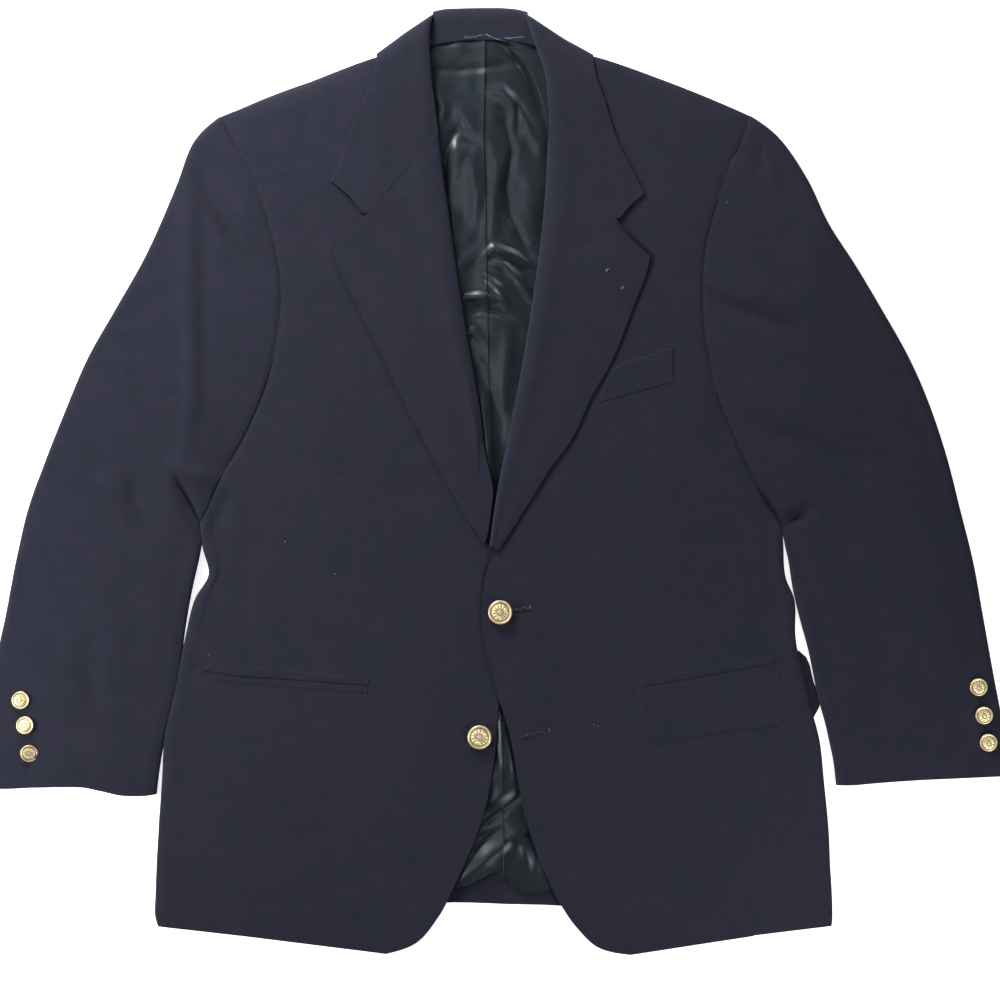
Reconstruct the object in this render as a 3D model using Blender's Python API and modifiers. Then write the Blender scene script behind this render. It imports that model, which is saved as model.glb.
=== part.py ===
"""A navy two-button blazer, laid flat on its back with the front up.

All sizes are in millimetres until a mesh is made. X runs to the wearer's left, Y runs up to the
collar and Z runs up from the surface that the blazer lies on. Each piece of cloth is a grid of
points between two of its cut edges, and a Solidify wall gives it its thickness. A height is that
of the middle of the wall.
"""
import math

import bmesh
import bpy
from mathutils import Vector

MM = 0.001
# Middle of the whole outline, which becomes the origin
CENTRE_X = 1.0
CENTRE_Y = -0.7

# Cloth thicknesses, with the canvas and lining that are sewn to each
WOOL_BACK = 1.5
WOOL_BODY = 2.2
WOOL_LAPEL = 2.0
SATIN = 1.0
WOOL_TRIM = 1.2

# Heights where the pieces lie flat on each other
BACK_HEIGHT = 0.75
HEM_TURN_UP_HEIGHT = 2.5
LINING_HEIGHT = 2.6
LINING_OVER_HEM = 1.4
FRONT_LINING_HEIGHT = 4.0
UNDER_HEIGHT = 1.1
TOP_HEIGHT = 6.3
CHEST_RISE = 1.2
CHEST_HALF_WIDTH = 230.0
SLEEVE_CROWN = 0.8
SHOULDER_EDGE_HEIGHT = 3.4
NECK_EDGE_SHARE = 2.0
LAPEL_LIFT = 2.9
TRIM_LIFT = 2.15
FRONT_OVERLAP_LIFT = 2.8
VENT_LIFT = 1.9
NECK_LIFT = 2.5

# Seams, folds and the shares at which a panel's grid is divided
SEAM = 0.35
ARMHOLE_SEAM = 0.6
CENTRE_SEAM = 0.25
SLEEVE_SEAM_IN = 22.0
SIDE_SEAM_UNDER = 11.0
FRONT_SHARES = (0, 0.06, 0.13, 0.20, 0.30, 0.42, 0.56, 0.70, 0.85, 1)
BACK_SHARES = (0, 0.2, 0.4, 0.6, 0.8, 1)
LAPEL_SHARES = (0.33, 0.66, 1)
LAPEL_TAIL_SHARES = (0, 0.08, 0.16, 0.24, 0.5, 0.75, 1)
LINING_SHARES = (0, 0.09, 0.19, 0.30, 0.42, 0.58, 1)
SHOULDER_STATIONS = ((0, 0), (0.12, 0.6), (0.35, 0.9))

BUTTON_STEPS = 14
FRONT_BUTTON_RADIUS = 11.2
CUFF_BUTTON_RADIUS = 8.2
BUTTON_CLEARANCE = 0.4

NAVY = (0.018, 0.020, 0.036, 1.0)
TEAL_SATIN = (0.030, 0.048, 0.056, 1.0)
BRASS = (0.70, 0.52, 0.22, 1.0)

# Side of the wearer, and the way along X that leads out from the body on that side
SIDES = {"right": -1, "left": 1}

# Armhole seam from the shoulder point round to the underarm: x, y
ARMHOLE = {
    "right": [(-256, 333), (-245, 313), (-231, 286), (-219, 258), (-208, 223), (-201, 189),
              (-200, 157), (-205, 120), (-217, 79), (-237, 35), (-256, 3), (-273, -38)],
    "left": [(232, 334), (222, 307), (209, 284), (200, 252), (191, 218), (188, 186),
             (188, 154), (192, 118), (203, 74), (220, 34), (240, -10), (261, -42)],
}
# The front ends here along the armhole, and the side panel begins
SIDE_PANEL_STATION = 9
BACK_END_STATION = 8.6

# Roll line opposite each armhole point: x, y, and how far the front's cut stops short of it
ROLL = {
    "right": [(-64, 397, 3.4), (-63, 381, 3.4), (-60, 355, 3.4), (-56, 327, 3.4), (-52, 292, 3.4),
              (-47, 258, 3.4), (-42, 221, 3.4), (-36, 180, 3.4), (-28, 129, 3.4), (-19, 79, 4.0)],
    "left": [(35, 397, 3.4), (40, 378, 3.4), (45, 350, 3.4), (46, 313, 3.4), (44, 272, 3.4),
             (40, 226, 3.4), (34, 180, 3.4), (27, 134, 3.4), (18, 83, 3.4), (9, 37, 3.4)],
}
# Each front below the underarm: side seam x, y, front edge x, y, and the cut short of the edge
FRONT_LOWER = {
    "right": [(-234, -18, -10, 23, 4.6), (-233, -64, -1, -23, 4.0), (-232, -105, 13, -64, 0),
              (-232, -147, 20, -110, 0), (-232, -193, 17, -161, 0), (-233, -239, 4, -205, 0),
              (-234, -280, -3, -253, 0), (-235, -322, -11, -299, 0), (-236, -358, -23, -335, 0),
              (-236, -386, -41, -375, 0), (-237, -402, -55, -402, 0), (-237, -412, -76, -426, 0),
              (-237, -417, -104, -435, 0)],
    "left": [(225, -18, -1, -11, 4.4), (226, -64, -7, -55, 4.0), (227, -105, -12, -96, 0),
             (228, -147, -14, -142, 0), (229, -193, -4, -186, 0), (230, -239, 11, -234, 0),
             (231, -280, 19, -280, 0), (232, -322, 29, -322, 0), (233, -358, 42, -358, 0),
             (234, -386, 57, -389, 0), (235, -401, 73, -412, 0), (235, -411, 93, -428, 0),
             (235, -418, 123, -436, 0)],
}
# How far the shoulder line bows up between its ends, on the front and on the back
FRONT_BOW = {"right": 4.0, "left": 7.5}
BACK_BOW = {"right": 12.5, "left": 14.0}

# The fold down each side, from the underarm to the hem: x, y
SIDE_FOLD = {
    "right": [(-271, -42), (-269, -66), (-266, -87), (-277, -110), (-285, -145), (-294.7, -189),
              (-305.5, -234), (-309, -276), (-312, -320), (-314, -356), (-315, -384),
              (-315, -397), (-313, -404), (-310, -411)],
    "left": [(258.5, -46), (260, -66), (261, -90), (270, -110), (272, -144), (282, -193),
             (295, -239), (300, -280), (304, -322), (305, -356), (307, -381),
             (307, -393), (306, -403), (304, -409)],
}
# From this row down the side panel is free of the back, as a side vent
VENT_ROW = 4

# Centre seam of the back opposite the armhole points: x, y
CENTRE_UPPER = [(-13, 399), (-13, 372), (-13, 330), (-12, 290), (-12, 250), (-12, 210),
                (-11, 165), (-10, 120), (-9, 75)]
# Back below the underarm: outer edge x, y, then centre seam x, y. It widens under the vent.
BACK_LOWER = {
    "right": [(-222.5, -18, -8, -20), (-221.5, -64, -6, -66), (-220.5, -105, -4, -105),
              (-220.5, -142, -2, -140), (-221, -150, -1, -152), (-276, -165, 0, -166),
              (-283, -202, 1, -202), (-292, -243, 2, -243), (-297, -280, 3, -280),
              (-300, -322, 3, -322), (-302, -358, 4, -356), (-302, -397, 5, -391)],
    "left": [(213.5, -18, -8, -20), (214.5, -64, -6, -66), (215.5, -105, -4, -105),
             (216.5, -142, -2, -140), (217, -150, -1, -152), (270, -161, 0, -166),
             (289.5, -188, 1, -202), (289.5, -212, 2, -243), (284, -222, 3, -280),
             (286, -280, 3, -322), (290, -345, 4, -356), (292, -397, 5, -391)],
}

# Sleeve from shoulder to cuff: outer fold x, y, inner fold x, y, share of the armhole's bulge
SLEEVE = {
    "right": [(-256, 333, -274, -38, 1.0), (-278, 311, -274, -43, 0.6), (-295, 269, -274, -49, 0.38),
              (-323, 207, -274, -58, 0.22), (-350.5, 158, -276, -72, 0.12), (-375, 115, -281, -94, 0.05),
              (-398.5, 60, -286, -120, 0), (-417, 13, -290, -147, 0), (-430, -23, -292, -168, 0),
              (-442, -73, -296.2, -192, 0), (-451.5, -124, -301.5, -214, 0), (-459.5, -170, -306.7, -235, 0),
              (-464, -216, -310.5, -255, 0), (-467, -253, -313, -272, 0), (-469, -282, -315, -286, 0)],
    "left": [(232, 334, 261, -42, 1.0), (256, 315, 263.6, -47, 0.6), (283, 276, 264.6, -53, 0.38),
             (302, 236, 266.8, -61, 0.22), (326, 201, 270, -76, 0.12), (353, 157, 275, -100, 0.05),
             (378, 113, 281, -126, 0), (396, 72, 288, -154, 0), (412, 23, 291, -173, 0),
             (423, -25, 294, -191, 0), (435.5, -75, 298, -208, 0), (445.5, -126, 302, -224, 0),
             (456, -179, 306, -242, 0), (465, -227, 309.5, -259, 0), (471, -271, 312, -277, 0)],
}
# The deepest troughs pressed into the sleeves: side, start x, y, end x, y, depth, half width
SLEEVE_TROUGHS = [("right", -270, 276, -220, 198, 1.8, 22), ("right", -284, -30, -262, 12, 1.6, 18),
                  ("left", 205, 178, 268, 144, 1.7, 20), ("left", 245, 56, 322, 2, 1.8, 22)]
DEEPEST_TROUGH = 2.2

# Lapel from the gorge to the break: y on the roll line, outer edge x, y
LAPEL = {
    "right": [(319, -152, 209), (290, -144, 190), (258, -131, 162), (221, -113, 126), (184, -95, 88),
              (143, -76, 50), (97, -56, 13), (56, -39, -17)],
    "left": [(312, 140, 205), (281, 136, 188), (244, 125, 161), (207, 112, 126), (166, 100, 100),
             (125, 86, 76), (83, 69, 39), (40, 48, 10), (2, 32, -15), (-32, 16, -41), (-60, 3, -62)],
}
# Tail of the right lapel beside the left front's edge: inner x, y, outer x, y
LAPEL_TAIL = [(-11.5, 24, -26, -39), (-4.5, -12, -21, -46), (-6.5, -30, -17.5, -52), (-9.5, -50, -13, -60)]
NOTCH_SHARE = 0.66
# Room beside the gorge seam at the roll and at the notch
GORGE_GAPS = (1.3, 0.5)

# Collar leaf from the gorge to the shoulder: roll x, y, middle x, y, outer edge x, y, drop
COLLAR = {
    "right": [(-57, 338, -112, 284, -148, 288, 0), (-59, 354, -104, 313, -143, 304, 0),
              (-61, 368, -98, 336, -136, 322, 0), (-62, 383, -94, 356, -128, 341, 0),
              (-63, 396, -90, 372, -121, 357, 0), (-63, 408, -87, 388, -115, 372, 0),
              (-62, 419, -85.5, 402.5, -112, 385, 0.7), (-59, 428.5, -84, 412, -112, 391.5, 4.0)],
    "left": [(47, 332, 99, 275, 129, 276, 0), (46, 348, 90, 309, 121, 291, 0),
             (45, 363, 83, 334, 112, 308, 0), (42, 380, 76, 355, 104, 330, 0),
             (36, 396, 71, 371, 98, 351, 0), (32, 407, 66, 385, 91, 370, 0),
             (28.5, 417, 62, 397, 88.5, 384, 0.7), (25, 429, 60, 406, 87.5, 391, 4.0)],
}
COLLAR_CORNER = {"right": (-154, 276), "left": (135, 264)}
# Where the leaf turns under the shoulder: near end x, y, middle x, y, far end x, y, height
COLLAR_UNDER = {
    "right": [(-57, 427, -82, 409, -110.5, 389, 1.9), (-57, 426, -78, 404, -105, 384, 1.0),
              (-56, 423.5, -68, 398, -86, 376, 1.0), (-56, 421.5, -62.5, 398, -68, 375, 1.0)],
    "left": [(22, 427.5, 58, 402.5, 86, 388.5, 1.9), (22, 426.5, 54, 397, 80, 383.5, 1.0),
             (21, 424.5, 45, 394, 62, 377, 1.0), (20, 422.5, 32, 396, 42, 374, 1.0)],
}
# Back of the collar across the neck: seam x, y, top fold x, y, under edge x, y
COLLAR_BACK = [(-60, 398, -53, 431, -66, 375.5), (-50, 402, -46, 432.5, -50, 377),
               (-34, 404.5, -33, 433.5, -34, 380), (-12, 405, -14, 434.5, -12, 382),
               (8, 404.5, 4, 434, 8, 380), (22, 402, 13, 432.5, 26, 376), (33, 397, 18, 430.5, 39.5, 374.5)]
STAND_SEAM_HEIGHT = 7.1
STAND_HEIGHT = 8.2
COLLAR_UNDER_HEIGHT = 1.0

# The left front's own lining, which shows beside the neck: y, inner x, outer x
FRONT_LINING = [(399, 10, 24), (392, 17, 42), (384, 25, 58), (365, 35, 70), (345, 42, 72), (325, 45, 74)]
# Lower edge of the lining of the back, drawn up at its middle: x, y
LINING_HEM = [(-125, -378), (-53, -376), (-21, -371), (-7, -362), (2, -361), (11, -371), (57, -378), (125, -379)]
# Rows of the lining: y, centre pleat x, reach to each side
LINING_ROWS = [(402, -13, 42), (378, -13, 66), (345, -14, 95), (315, -14.5, 100), (285, -13.5, 105),
               (255, -12.5, 105), (225, -12, 105), (195, -11.5, 105), (165, -11, 105), (130, -10.5, 105),
               (90, -9.5, 105), (50, -8, 105), (10, -8, 105), (-60, -6, 105), (-130, -3, 105), (-190, 0, 105),
               (-230, 2, 105), (-270, 3, 105), (-305, 3, 105), (-330, 4, 105), (-350, 4, 105)]
HEM_TURN_UP = [(-78, -393.5), (-40, -391.5), (2, -390.5), (40, -391.5), (80, -393.5)]
HEM_TURN_UP_TOP = -350.0
# Soft folds in the lining where it shows: x, y, reach along x and y, height
LINING_FOLDS = [(-40, 300, 14, 26, 1.6), (0, 225, 16, 10, 1.8), (22, 205, 12, 9, 1.8),
                (-26, 180, 12, 12, 1.5), (-5, 110, 8, 30, 1.4), (-4, 330, 9, 14, 1.2),
                (-26, -350, 16, 10, 0.9), (16, -345, 12, 12, 0.9), (2, -300, 10, 12, 1.2)]

# Pockets, as pairs of top edge x, y and bottom edge x, y
WELT = [((103.5, 103), (91.5, 71)), ((125, 111), (113, 77)), ((144, 117), (138, 84)), ((162, 123), (162, 91))]
FLAP = [((129, -192), (135, -238)), ((137, -190.3), (142, -243)), ((150, -188.2), (160, -242)),
        ((190, -181.2), (195, -235)), ((225, -174.8), (228, -230)), ((259, -168.8), (259, -227))]
JET_LEFT = [((133, -184), (131, -190)), ((165, -177.5), (164, -184.6)), ((200, -171), (200, -178)),
            ((232, -165), (232, -172)), ((255, -161), (257, -167.5))]
JET_RIGHT_UPPER = [((-262, -167.5), (-272, -174.5)), ((-243, -169.5), (-250, -178.6)),
                   ((-218, -172), (-224, -181.2)), ((-185, -175.2), (-188, -183.3)),
                   ((-150, -179.2), (-151, -186.2)), ((-117, -182), (-119, -188.5))]
JET_RIGHT_LOWER = [((-272, -175.5), (-269, -181)), ((-250, -179.6), (-249, -185.4)),
                   ((-224, -182.2), (-224, -187.6)), ((-188, -184.3), (-188, -190)),
                   ((-151, -187.2), (-151, -193.6)), ((-119, -189.5), (-119, -196))]

# Buttons: name, side they lie on, x, y, radius
FRONT_BUTTONS = [("button_front_upper", "left", 2, -121), ("button_front_lower", "right", -17, -236)]
CUFF_BUTTONS = {"right": [(-439, -202), (-435, -225), (-431, -251)], "left": [(442, -190), (447, -216), (451, -241)]}


def clamp(value):
    return min(1.0, max(0.0, value))


def ramp(start, end, value):
    """Straight rise from 0 at start to 1 at end."""
    return clamp((value - start) / (end - start))


def mix(a, b, share):
    return a + (b - a) * share


def mix_rows(a, b, share):
    return tuple(mix(p, q, share) for p, q in zip(a, b))


def row_at(rows, station):
    """The row at a station such as 2.5, halfway between rows 2 and 3."""
    low = min(int(station), len(rows) - 2)
    return mix_rows(rows[low], rows[low + 1], station - low)


def neck_lift(x, y):
    """Rise of everything that lies over the back of the collar."""
    return NECK_LIFT * ramp(-168, -116, x) * ramp(146, 94, x) * ramp(300, 372, y)


def body_height(x, y):
    """Height of the front: fullest over the chest, flat at the sides, lifted at the neck."""
    across = x / CHEST_HALF_WIDTH
    return TOP_HEIGHT + CHEST_RISE * max(0.0, 1 - across * across) + neck_lift(x, y)


def front_height(side, x, y):
    """The left front lies over the right front's button edge, so it rises there."""
    lift = 0.0
    if side == "left":
        lift = FRONT_OVERLAP_LIFT * ramp(60, 26, x) * ramp(37, -11, y) * ramp(-275, -236, y)
    return body_height(x, y) + lift


def lining_height(x, y):
    """The back's lining, with its soft folds and the hem turn-up that it covers."""
    height = LINING_HEIGHT + neck_lift(x, y) + LINING_OVER_HEM * ramp(-328, -348, y)
    for fold_x, fold_y, reach_x, reach_y, rise in LINING_FOLDS:
        distance = ((x - fold_x) / reach_x) ** 2 + ((y - fold_y) / reach_y) ** 2
        height += rise * math.exp(-distance)
    return height


def trough_depth(side, x, y):
    """Depth of the pressed troughs of a sleeve, which never reach down to its underside."""
    depth = 0.0
    for trough_side, x0, y0, x1, y1, deepest, half_width in SLEEVE_TROUGHS:
        if trough_side != side:
            continue
        along = Vector((x1 - x0, y1 - y0))
        offset = Vector((x - x0, y - y0))
        share = clamp(offset.dot(along) / along.length_squared)
        distance = (offset - along * share).length / half_width
        depth += deepest * math.exp(-distance * distance)
    return min(depth, DEEPEST_TROUGH)


def material_named(name, colour, roughness, metallic):
    material = bpy.data.materials.new(name)
    material.use_nodes = True
    shader = material.node_tree.nodes["Principled BSDF"]
    shader.inputs["Base Color"].default_value = colour
    shader.inputs["Roughness"].default_value = roughness
    shader.inputs["Metallic"].default_value = metallic
    material.diffuse_color = colour
    return material


def to_world(point):
    x, y, z = point
    return Vector(((x - CENTRE_X) * MM, (y - CENTRE_Y) * MM, z * MM))


def add_object(name, mesh, material):
    thing = bpy.data.objects.new(name, mesh)
    blazer.objects.link(thing)
    mesh.materials.append(material)
    return thing


def cloth(name, rows, thickness, material):
    """A wall of cloth through rows of points, every row with the same count."""
    shape = bmesh.new()
    grid = [[shape.verts.new(to_world(point)) for point in row] for row in rows]
    for upper, lower in zip(grid, grid[1:]):
        for a, b, c, d in zip(upper, upper[1:], lower[1:], lower):
            shape.faces.new((a, d, c, b))
    bmesh.ops.recalc_face_normals(shape, faces=shape.faces)
    mesh = bpy.data.meshes.new(name)
    shape.to_mesh(mesh)
    shape.free()
    mesh.shade_smooth()
    mesh.set_sharp_from_angle(angle=math.radians(50))
    panel = add_object(name, mesh, material)
    wall = panel.modifiers.new("Cloth thickness", "SOLIDIFY")
    wall.thickness = thickness * MM
    wall.offset = 0
    return panel


def inset(start, end, distance):
    """The point that lies a distance from start on the way to end."""
    span = math.dist(start, end)
    return mix_rows(start, end, distance / span)


def build_front(side):
    """One front, from the shoulder and armhole to the front edge, with its lower corner rounded."""
    upper = [hole + roll for hole, roll in zip(ARMHOLE[side], ROLL[side])]
    table = upper + FRONT_LOWER[side]
    stations = list(SHOULDER_STATIONS) + [(number, 1) for number in range(1, len(table))]
    rows = []
    for station, settled in stations:
        seam_x, seam_y, edge_x, edge_y, short = row_at(table, station)
        seam, edge = (seam_x, seam_y), (edge_x, edge_y)
        start = inset(edge, seam, short)
        end = inset(seam, edge, SEAM)
        bow = FRONT_BOW[side] * max(0.0, 1 - station)
        row = []
        for share in FRONT_SHARES:
            x, y = mix_rows(start, end, share)
            y += bow * 4 * share * (1 - share)
            low = SHOULDER_EDGE_HEIGHT + NECK_EDGE_SHARE * neck_lift(x, y)
            row.append((x, y, mix(low, front_height(side, x, y), settled)))
        rows.append(row)
    cloth(f"front_{side}", rows, WOOL_BODY, navy)


def build_side_panel(side):
    """The panel under the arm, folded round the side so that half of it lies underneath."""
    rows = []
    seams = [ARMHOLE[side][SIDE_PANEL_STATION]] + [row[:2] for row in FRONT_LOWER[side]]
    for number, (seam, fold) in enumerate(zip(seams, SIDE_FOLD[side])):
        under = UNDER_HEIGHT + (VENT_LIFT if number >= VENT_ROW else 0)
        radius = (TOP_HEIGHT - under) / 2
        beside = ARMHOLE[side][SIDE_PANEL_STATION + 1] if number == 0 else seam
        turn = inset(fold, beside, radius + WOOL_BODY / 2)
        start = inset(seam, fold, SEAM)
        row = []
        for share in (0, 0.25, 0.5, 0.75):
            x, y = mix_rows(start, turn, share)
            if number == 0 and share > 0:
                x, y = row_at(ARMHOLE[side], SIDE_PANEL_STATION + 2 * share)
                y -= ARMHOLE_SEAM
            row.append((x, y, body_height(x, y)))
        out = inset(turn, fold, radius)
        for degrees in (90, 45, 0, -45, -90):
            angle = math.radians(degrees)
            x, y = mix_rows(turn, out, math.cos(angle))
            row.append((x, y, under + radius + radius * math.sin(angle)))
        below = inset(seam, fold, -SIDE_SEAM_UNDER)
        for share in (0.5, 1):
            x, y = mix_rows(turn, below, share)
            if number == 0:
                x, y = row_at(ARMHOLE[side], mix(SIDE_PANEL_STATION + 2, BACK_END_STATION, share))
                y -= ARMHOLE_SEAM
            row.append((x, y, under))
        rows.append(row)
    cloth(f"side_panel_{side}", rows, WOOL_BODY, navy)


def build_back(side):
    """Half of the back, flat underneath, from the shoulder to the hem."""
    out = SIDES[side]
    upper = [hole + centre for hole, centre in zip(ARMHOLE[side], CENTRE_UPPER)]
    last = row_at(ARMHOLE[side], BACK_END_STATION) + (-8.5, 50)
    rows = []
    for number, (edge_x, edge_y, centre_x, centre_y) in enumerate(upper + [last] + BACK_LOWER[side]):
        start = inset((edge_x, edge_y), (centre_x, centre_y), SEAM)
        bow = BACK_BOW[side] * max(0.0, 1 - number / 2)
        row = []
        for share in BACK_SHARES:
            x, y = mix_rows(start, (centre_x + out * CENTRE_SEAM, centre_y), share)
            y += bow * 4 * share * (1 - share)
            row.append((x, y, BACK_HEIGHT + neck_lift(x, y)))
        rows.append(row)
    cloth(f"back_{side}", rows, WOOL_BACK, navy)


def armhole_shares(side):
    """How far along the straight line between its ends each point of an armhole lies."""
    first, last = Vector(ARMHOLE[side][0]), Vector(ARMHOLE[side][-1])
    chord = last - first
    return [(Vector(point) - first).dot(chord) / chord.length_squared for point in ARMHOLE[side]]


def armhole_bulge(side, share):
    """How far an armhole lies from the straight line between its ends."""
    first, last = Vector(ARMHOLE[side][0]), Vector(ARMHOLE[side][-1])
    shares = armhole_shares(side)
    bulges = [Vector(point) - first.lerp(last, at) for point, at in zip(ARMHOLE[side], shares)]
    for number in range(len(shares) - 1):
        if share <= shares[number + 1]:
            break
    between = clamp((share - shares[number]) / (shares[number + 1] - shares[number]))
    return bulges[number].lerp(bulges[number + 1], between)


def sleeve_point(side, row, share, first_row):
    """A point across a sleeve's row in plan."""
    outer_x, outer_y, inner_x, inner_y, bulge = row
    x, y = mix_rows((outer_x, outer_y), (inner_x, inner_y), share)
    if bulge:
        shift = armhole_bulge(side, share) * bulge
        x, y = x + shift.x, y + shift.y
    if first_row:
        x += SIDES[side] * ARMHOLE_SEAM
    return x, y


def build_sleeve(side):
    """The top sleeve, which folds round both edges, and the under sleeve between its seams."""
    stations = armhole_shares(side)[1:-1]
    radius = (TOP_HEIGHT - UNDER_HEIGHT) / 2
    middle = UNDER_HEIGHT + radius
    top_rows, under_rows = [], []
    for number, row in enumerate(SLEEVE[side]):
        outer, inner = row[:2], row[2:4]
        width = math.dist(outer, inner)

        def across(distance):
            return sleeve_point(side, row, distance / width, number == 0)

        def fold(distance, degrees, way):
            angle = math.radians(degrees)
            x, y = across(distance - way * radius * math.cos(angle))
            return (x, y, middle + radius * math.sin(angle))

        turn = radius + WOOL_BODY / 2
        top = [across(SLEEVE_SEAM_IN) + (UNDER_HEIGHT,)]
        top += [fold(turn, degrees, 1) for degrees in (-90, -45, 0, 45, 90)]
        for share in stations:
            x, y = sleeve_point(side, row, share, number == 0)
            crown = SLEEVE_CROWN * math.sin(math.pi * share)
            top.append((x, y, TOP_HEIGHT + crown - trough_depth(side, x, y)))
        top += [fold(width - turn, degrees, -1) for degrees in (90, 45, 0, -45, -90)]
        top.append(across(width - SLEEVE_SEAM_IN) + (UNDER_HEIGHT,))
        top_rows.append(top)
        low, high = (SLEEVE_SEAM_IN + SEAM) / width, 1 - (SLEEVE_SEAM_IN + SEAM) / width
        shares = [low]
        for place, share in enumerate(stations, 1):
            shares.append(min(max(share, low + 0.01 * place), high - 0.01 * (len(stations) + 1 - place)))
        shares.append(high)
        under_rows.append([sleeve_point(side, row, share, number == 0) + (UNDER_HEIGHT,) for share in shares])
    cloth(f"top_sleeve_{side}", top_rows, WOOL_BODY, navy)
    cloth(f"under_sleeve_{side}", under_rows, WOOL_BODY, navy)


def roll_x(side, y):
    """X of the roll line at a height up the front."""
    line = [row[:2] for row in ROLL[side]] + [row[2:4] for row in FRONT_LOWER[side][:4]]
    for (x0, y0), (x1, y1) in zip(line, line[1:]):
        if y >= y1:
            break
    return mix(x0, x1, (y0 - y) / (y0 - y1))


def build_lapel(side):
    """The front's turned-back lapel with its facing, rolled over along the roll line."""
    radius = LAPEL_LIFT / 2
    reach = radius + WOOL_LAPEL / 2
    rows = []
    for number, (roll_y, edge_x, edge_y) in enumerate(LAPEL[side]):
        roll, edge = Vector((roll_x(side, roll_y), roll_y)), Vector((edge_x, edge_y))
        across = Vector((1, (roll_x(side, roll_y - 5) - roll_x(side, roll_y + 5)) / 10)) * SIDES[side]
        if number == 0:
            across = edge - roll
        across.normalize()
        row = []
        for degrees in (-90, -30, 30, 90):
            angle = math.radians(degrees)
            x, y = roll + across * (reach - radius * math.cos(angle))
            row.append((x, y, front_height(side, x, y) + radius + radius * math.sin(angle)))
        for share in LAPEL_SHARES:
            x, y = (roll + across * reach).lerp(edge, share)
            row.append((x, y, front_height(side, x, y) + LAPEL_LIFT))
        rows.append(row)
    if side == "right":
        for x0, y0, x1, y1 in LAPEL_TAIL:
            places = [mix_rows((x0, y0), (x1, y1), share) for share in LAPEL_TAIL_SHARES]
            rows.append([(x, y, front_height(side, x, y) + LAPEL_LIFT) for x, y in places])
    cloth(f"lapel_{side}", rows, WOOL_LAPEL, navy)


def build_collar_leaf(side):
    """The collar's leaf on one side, from the gorge seam to where it turns under the shoulder."""
    gorge_y, tip_x, tip_y = LAPEL[side][0]
    gorge, tip = (roll_x(side, gorge_y), gorge_y), (tip_x, tip_y)
    away = Vector((SIDES[side] * (gorge_y - tip_y), abs(tip_x - gorge[0]))).normalized()
    notch = mix_rows(gorge, tip, NOTCH_SHARE)
    first = tuple(Vector(gorge) + away * GORGE_GAPS[0]) + tuple(Vector(notch) + away * GORGE_GAPS[1])
    table = [first + COLLAR_CORNER[side] + (0,)] + COLLAR[side]
    rows = []
    for x0, y0, x1, y1, x2, y2, drop in table:
        row = []
        for start, end, share in (((x0, y0), (x1, y1), 0), ((x0, y0), (x1, y1), 0.5), ((x1, y1), (x2, y2), 0),
                                  ((x1, y1), (x2, y2), 0.5), ((x1, y1), (x2, y2), 1)):
            x, y = mix_rows(start, end, share)
            row.append((x, y, body_height(x, y) + LAPEL_LIFT - drop))
        rows.append(row)
    for x0, y0, x1, y1, x2, y2, height in COLLAR_UNDER[side]:
        near, middle, far = (x0, y0), (x1, y1), (x2, y2)
        points = [near, mix_rows(near, middle, 0.5), middle, mix_rows(middle, far, 0.5), far]
        rows.append([(x, y, height) for x, y in points])
    cloth(f"collar_leaf_{side}", rows, WOOL_LAPEL, navy)


def build_collar_back():
    """The collar behind the neck: its stand inside, the fold at the top and the leaf underneath."""
    radius = (STAND_HEIGHT - COLLAR_UNDER_HEIGHT) / 2
    rows = []
    for seam_x, seam_y, fold_x, fold_y, under_x, under_y in COLLAR_BACK:
        seam, under = (seam_x, seam_y), (under_x, under_y)
        turn = (fold_x, fold_y - radius - WOOL_LAPEL / 2)
        row = [seam + (STAND_SEAM_HEIGHT,), mix_rows(seam, turn, 0.5) + (STAND_HEIGHT - 0.3,)]
        for degrees in (90, 45, 0, -45, -90):
            angle = math.radians(degrees)
            height = COLLAR_UNDER_HEIGHT + radius + radius * math.sin(angle)
            row.append((turn[0], turn[1] + radius * math.cos(angle), height))
        row += [mix_rows(turn, under, share) + (COLLAR_UNDER_HEIGHT,) for share in (0.5, 1)]
        rows.append(row)
    cloth("collar_back", rows, WOOL_LAPEL, navy)


def hem_y(x):
    """The lining's lower edge."""
    for (x0, y0), (x1, y1) in zip(LINING_HEM, LINING_HEM[1:]):
        if x <= x1:
            break
    return mix(y0, y1, (x - x0) / (x1 - x0))


def build_back_lining(side):
    """Half of the back's lining, from the neck seam to its hem, beside the centre pleat."""
    out = SIDES[side]
    rows = []
    for y, pleat_x, reach in LINING_ROWS:
        start, end = pleat_x + out * CENTRE_SEAM, pleat_x + out * reach
        places = [mix(start, end, share) for share in LINING_SHARES]
        rows.append([(x, y, lining_height(x, y)) for x in places])
    rows.append([(x, hem_y(x), lining_height(x, hem_y(x))) for x in places])
    cloth(f"back_lining_{side}", rows, SATIN, satin)


def build_front_lining():
    """The strip of the left front's lining that shows beside the neck."""
    rows = []
    for y, inner_x, outer_x in FRONT_LINING:
        places = [mix(inner_x, outer_x, share) for share in (0, 0.3, 0.6, 1)]
        rows.append([(x, y, FRONT_LINING_HEIGHT + neck_lift(x, y)) for x in places])
    cloth("front_lining_left", rows, SATIN, satin)


def build_hem_turn_up():
    """The wool turned up inside the back's hem, which the lining leaves bare at the edge."""
    rows = []
    for share in (0, 0.5, 1):
        rows.append([(x, mix(y, HEM_TURN_UP_TOP, share), HEM_TURN_UP_HEIGHT) for x, y in HEM_TURN_UP])
    cloth("back_hem_turn_up", rows, WOOL_TRIM, navy)


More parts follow.
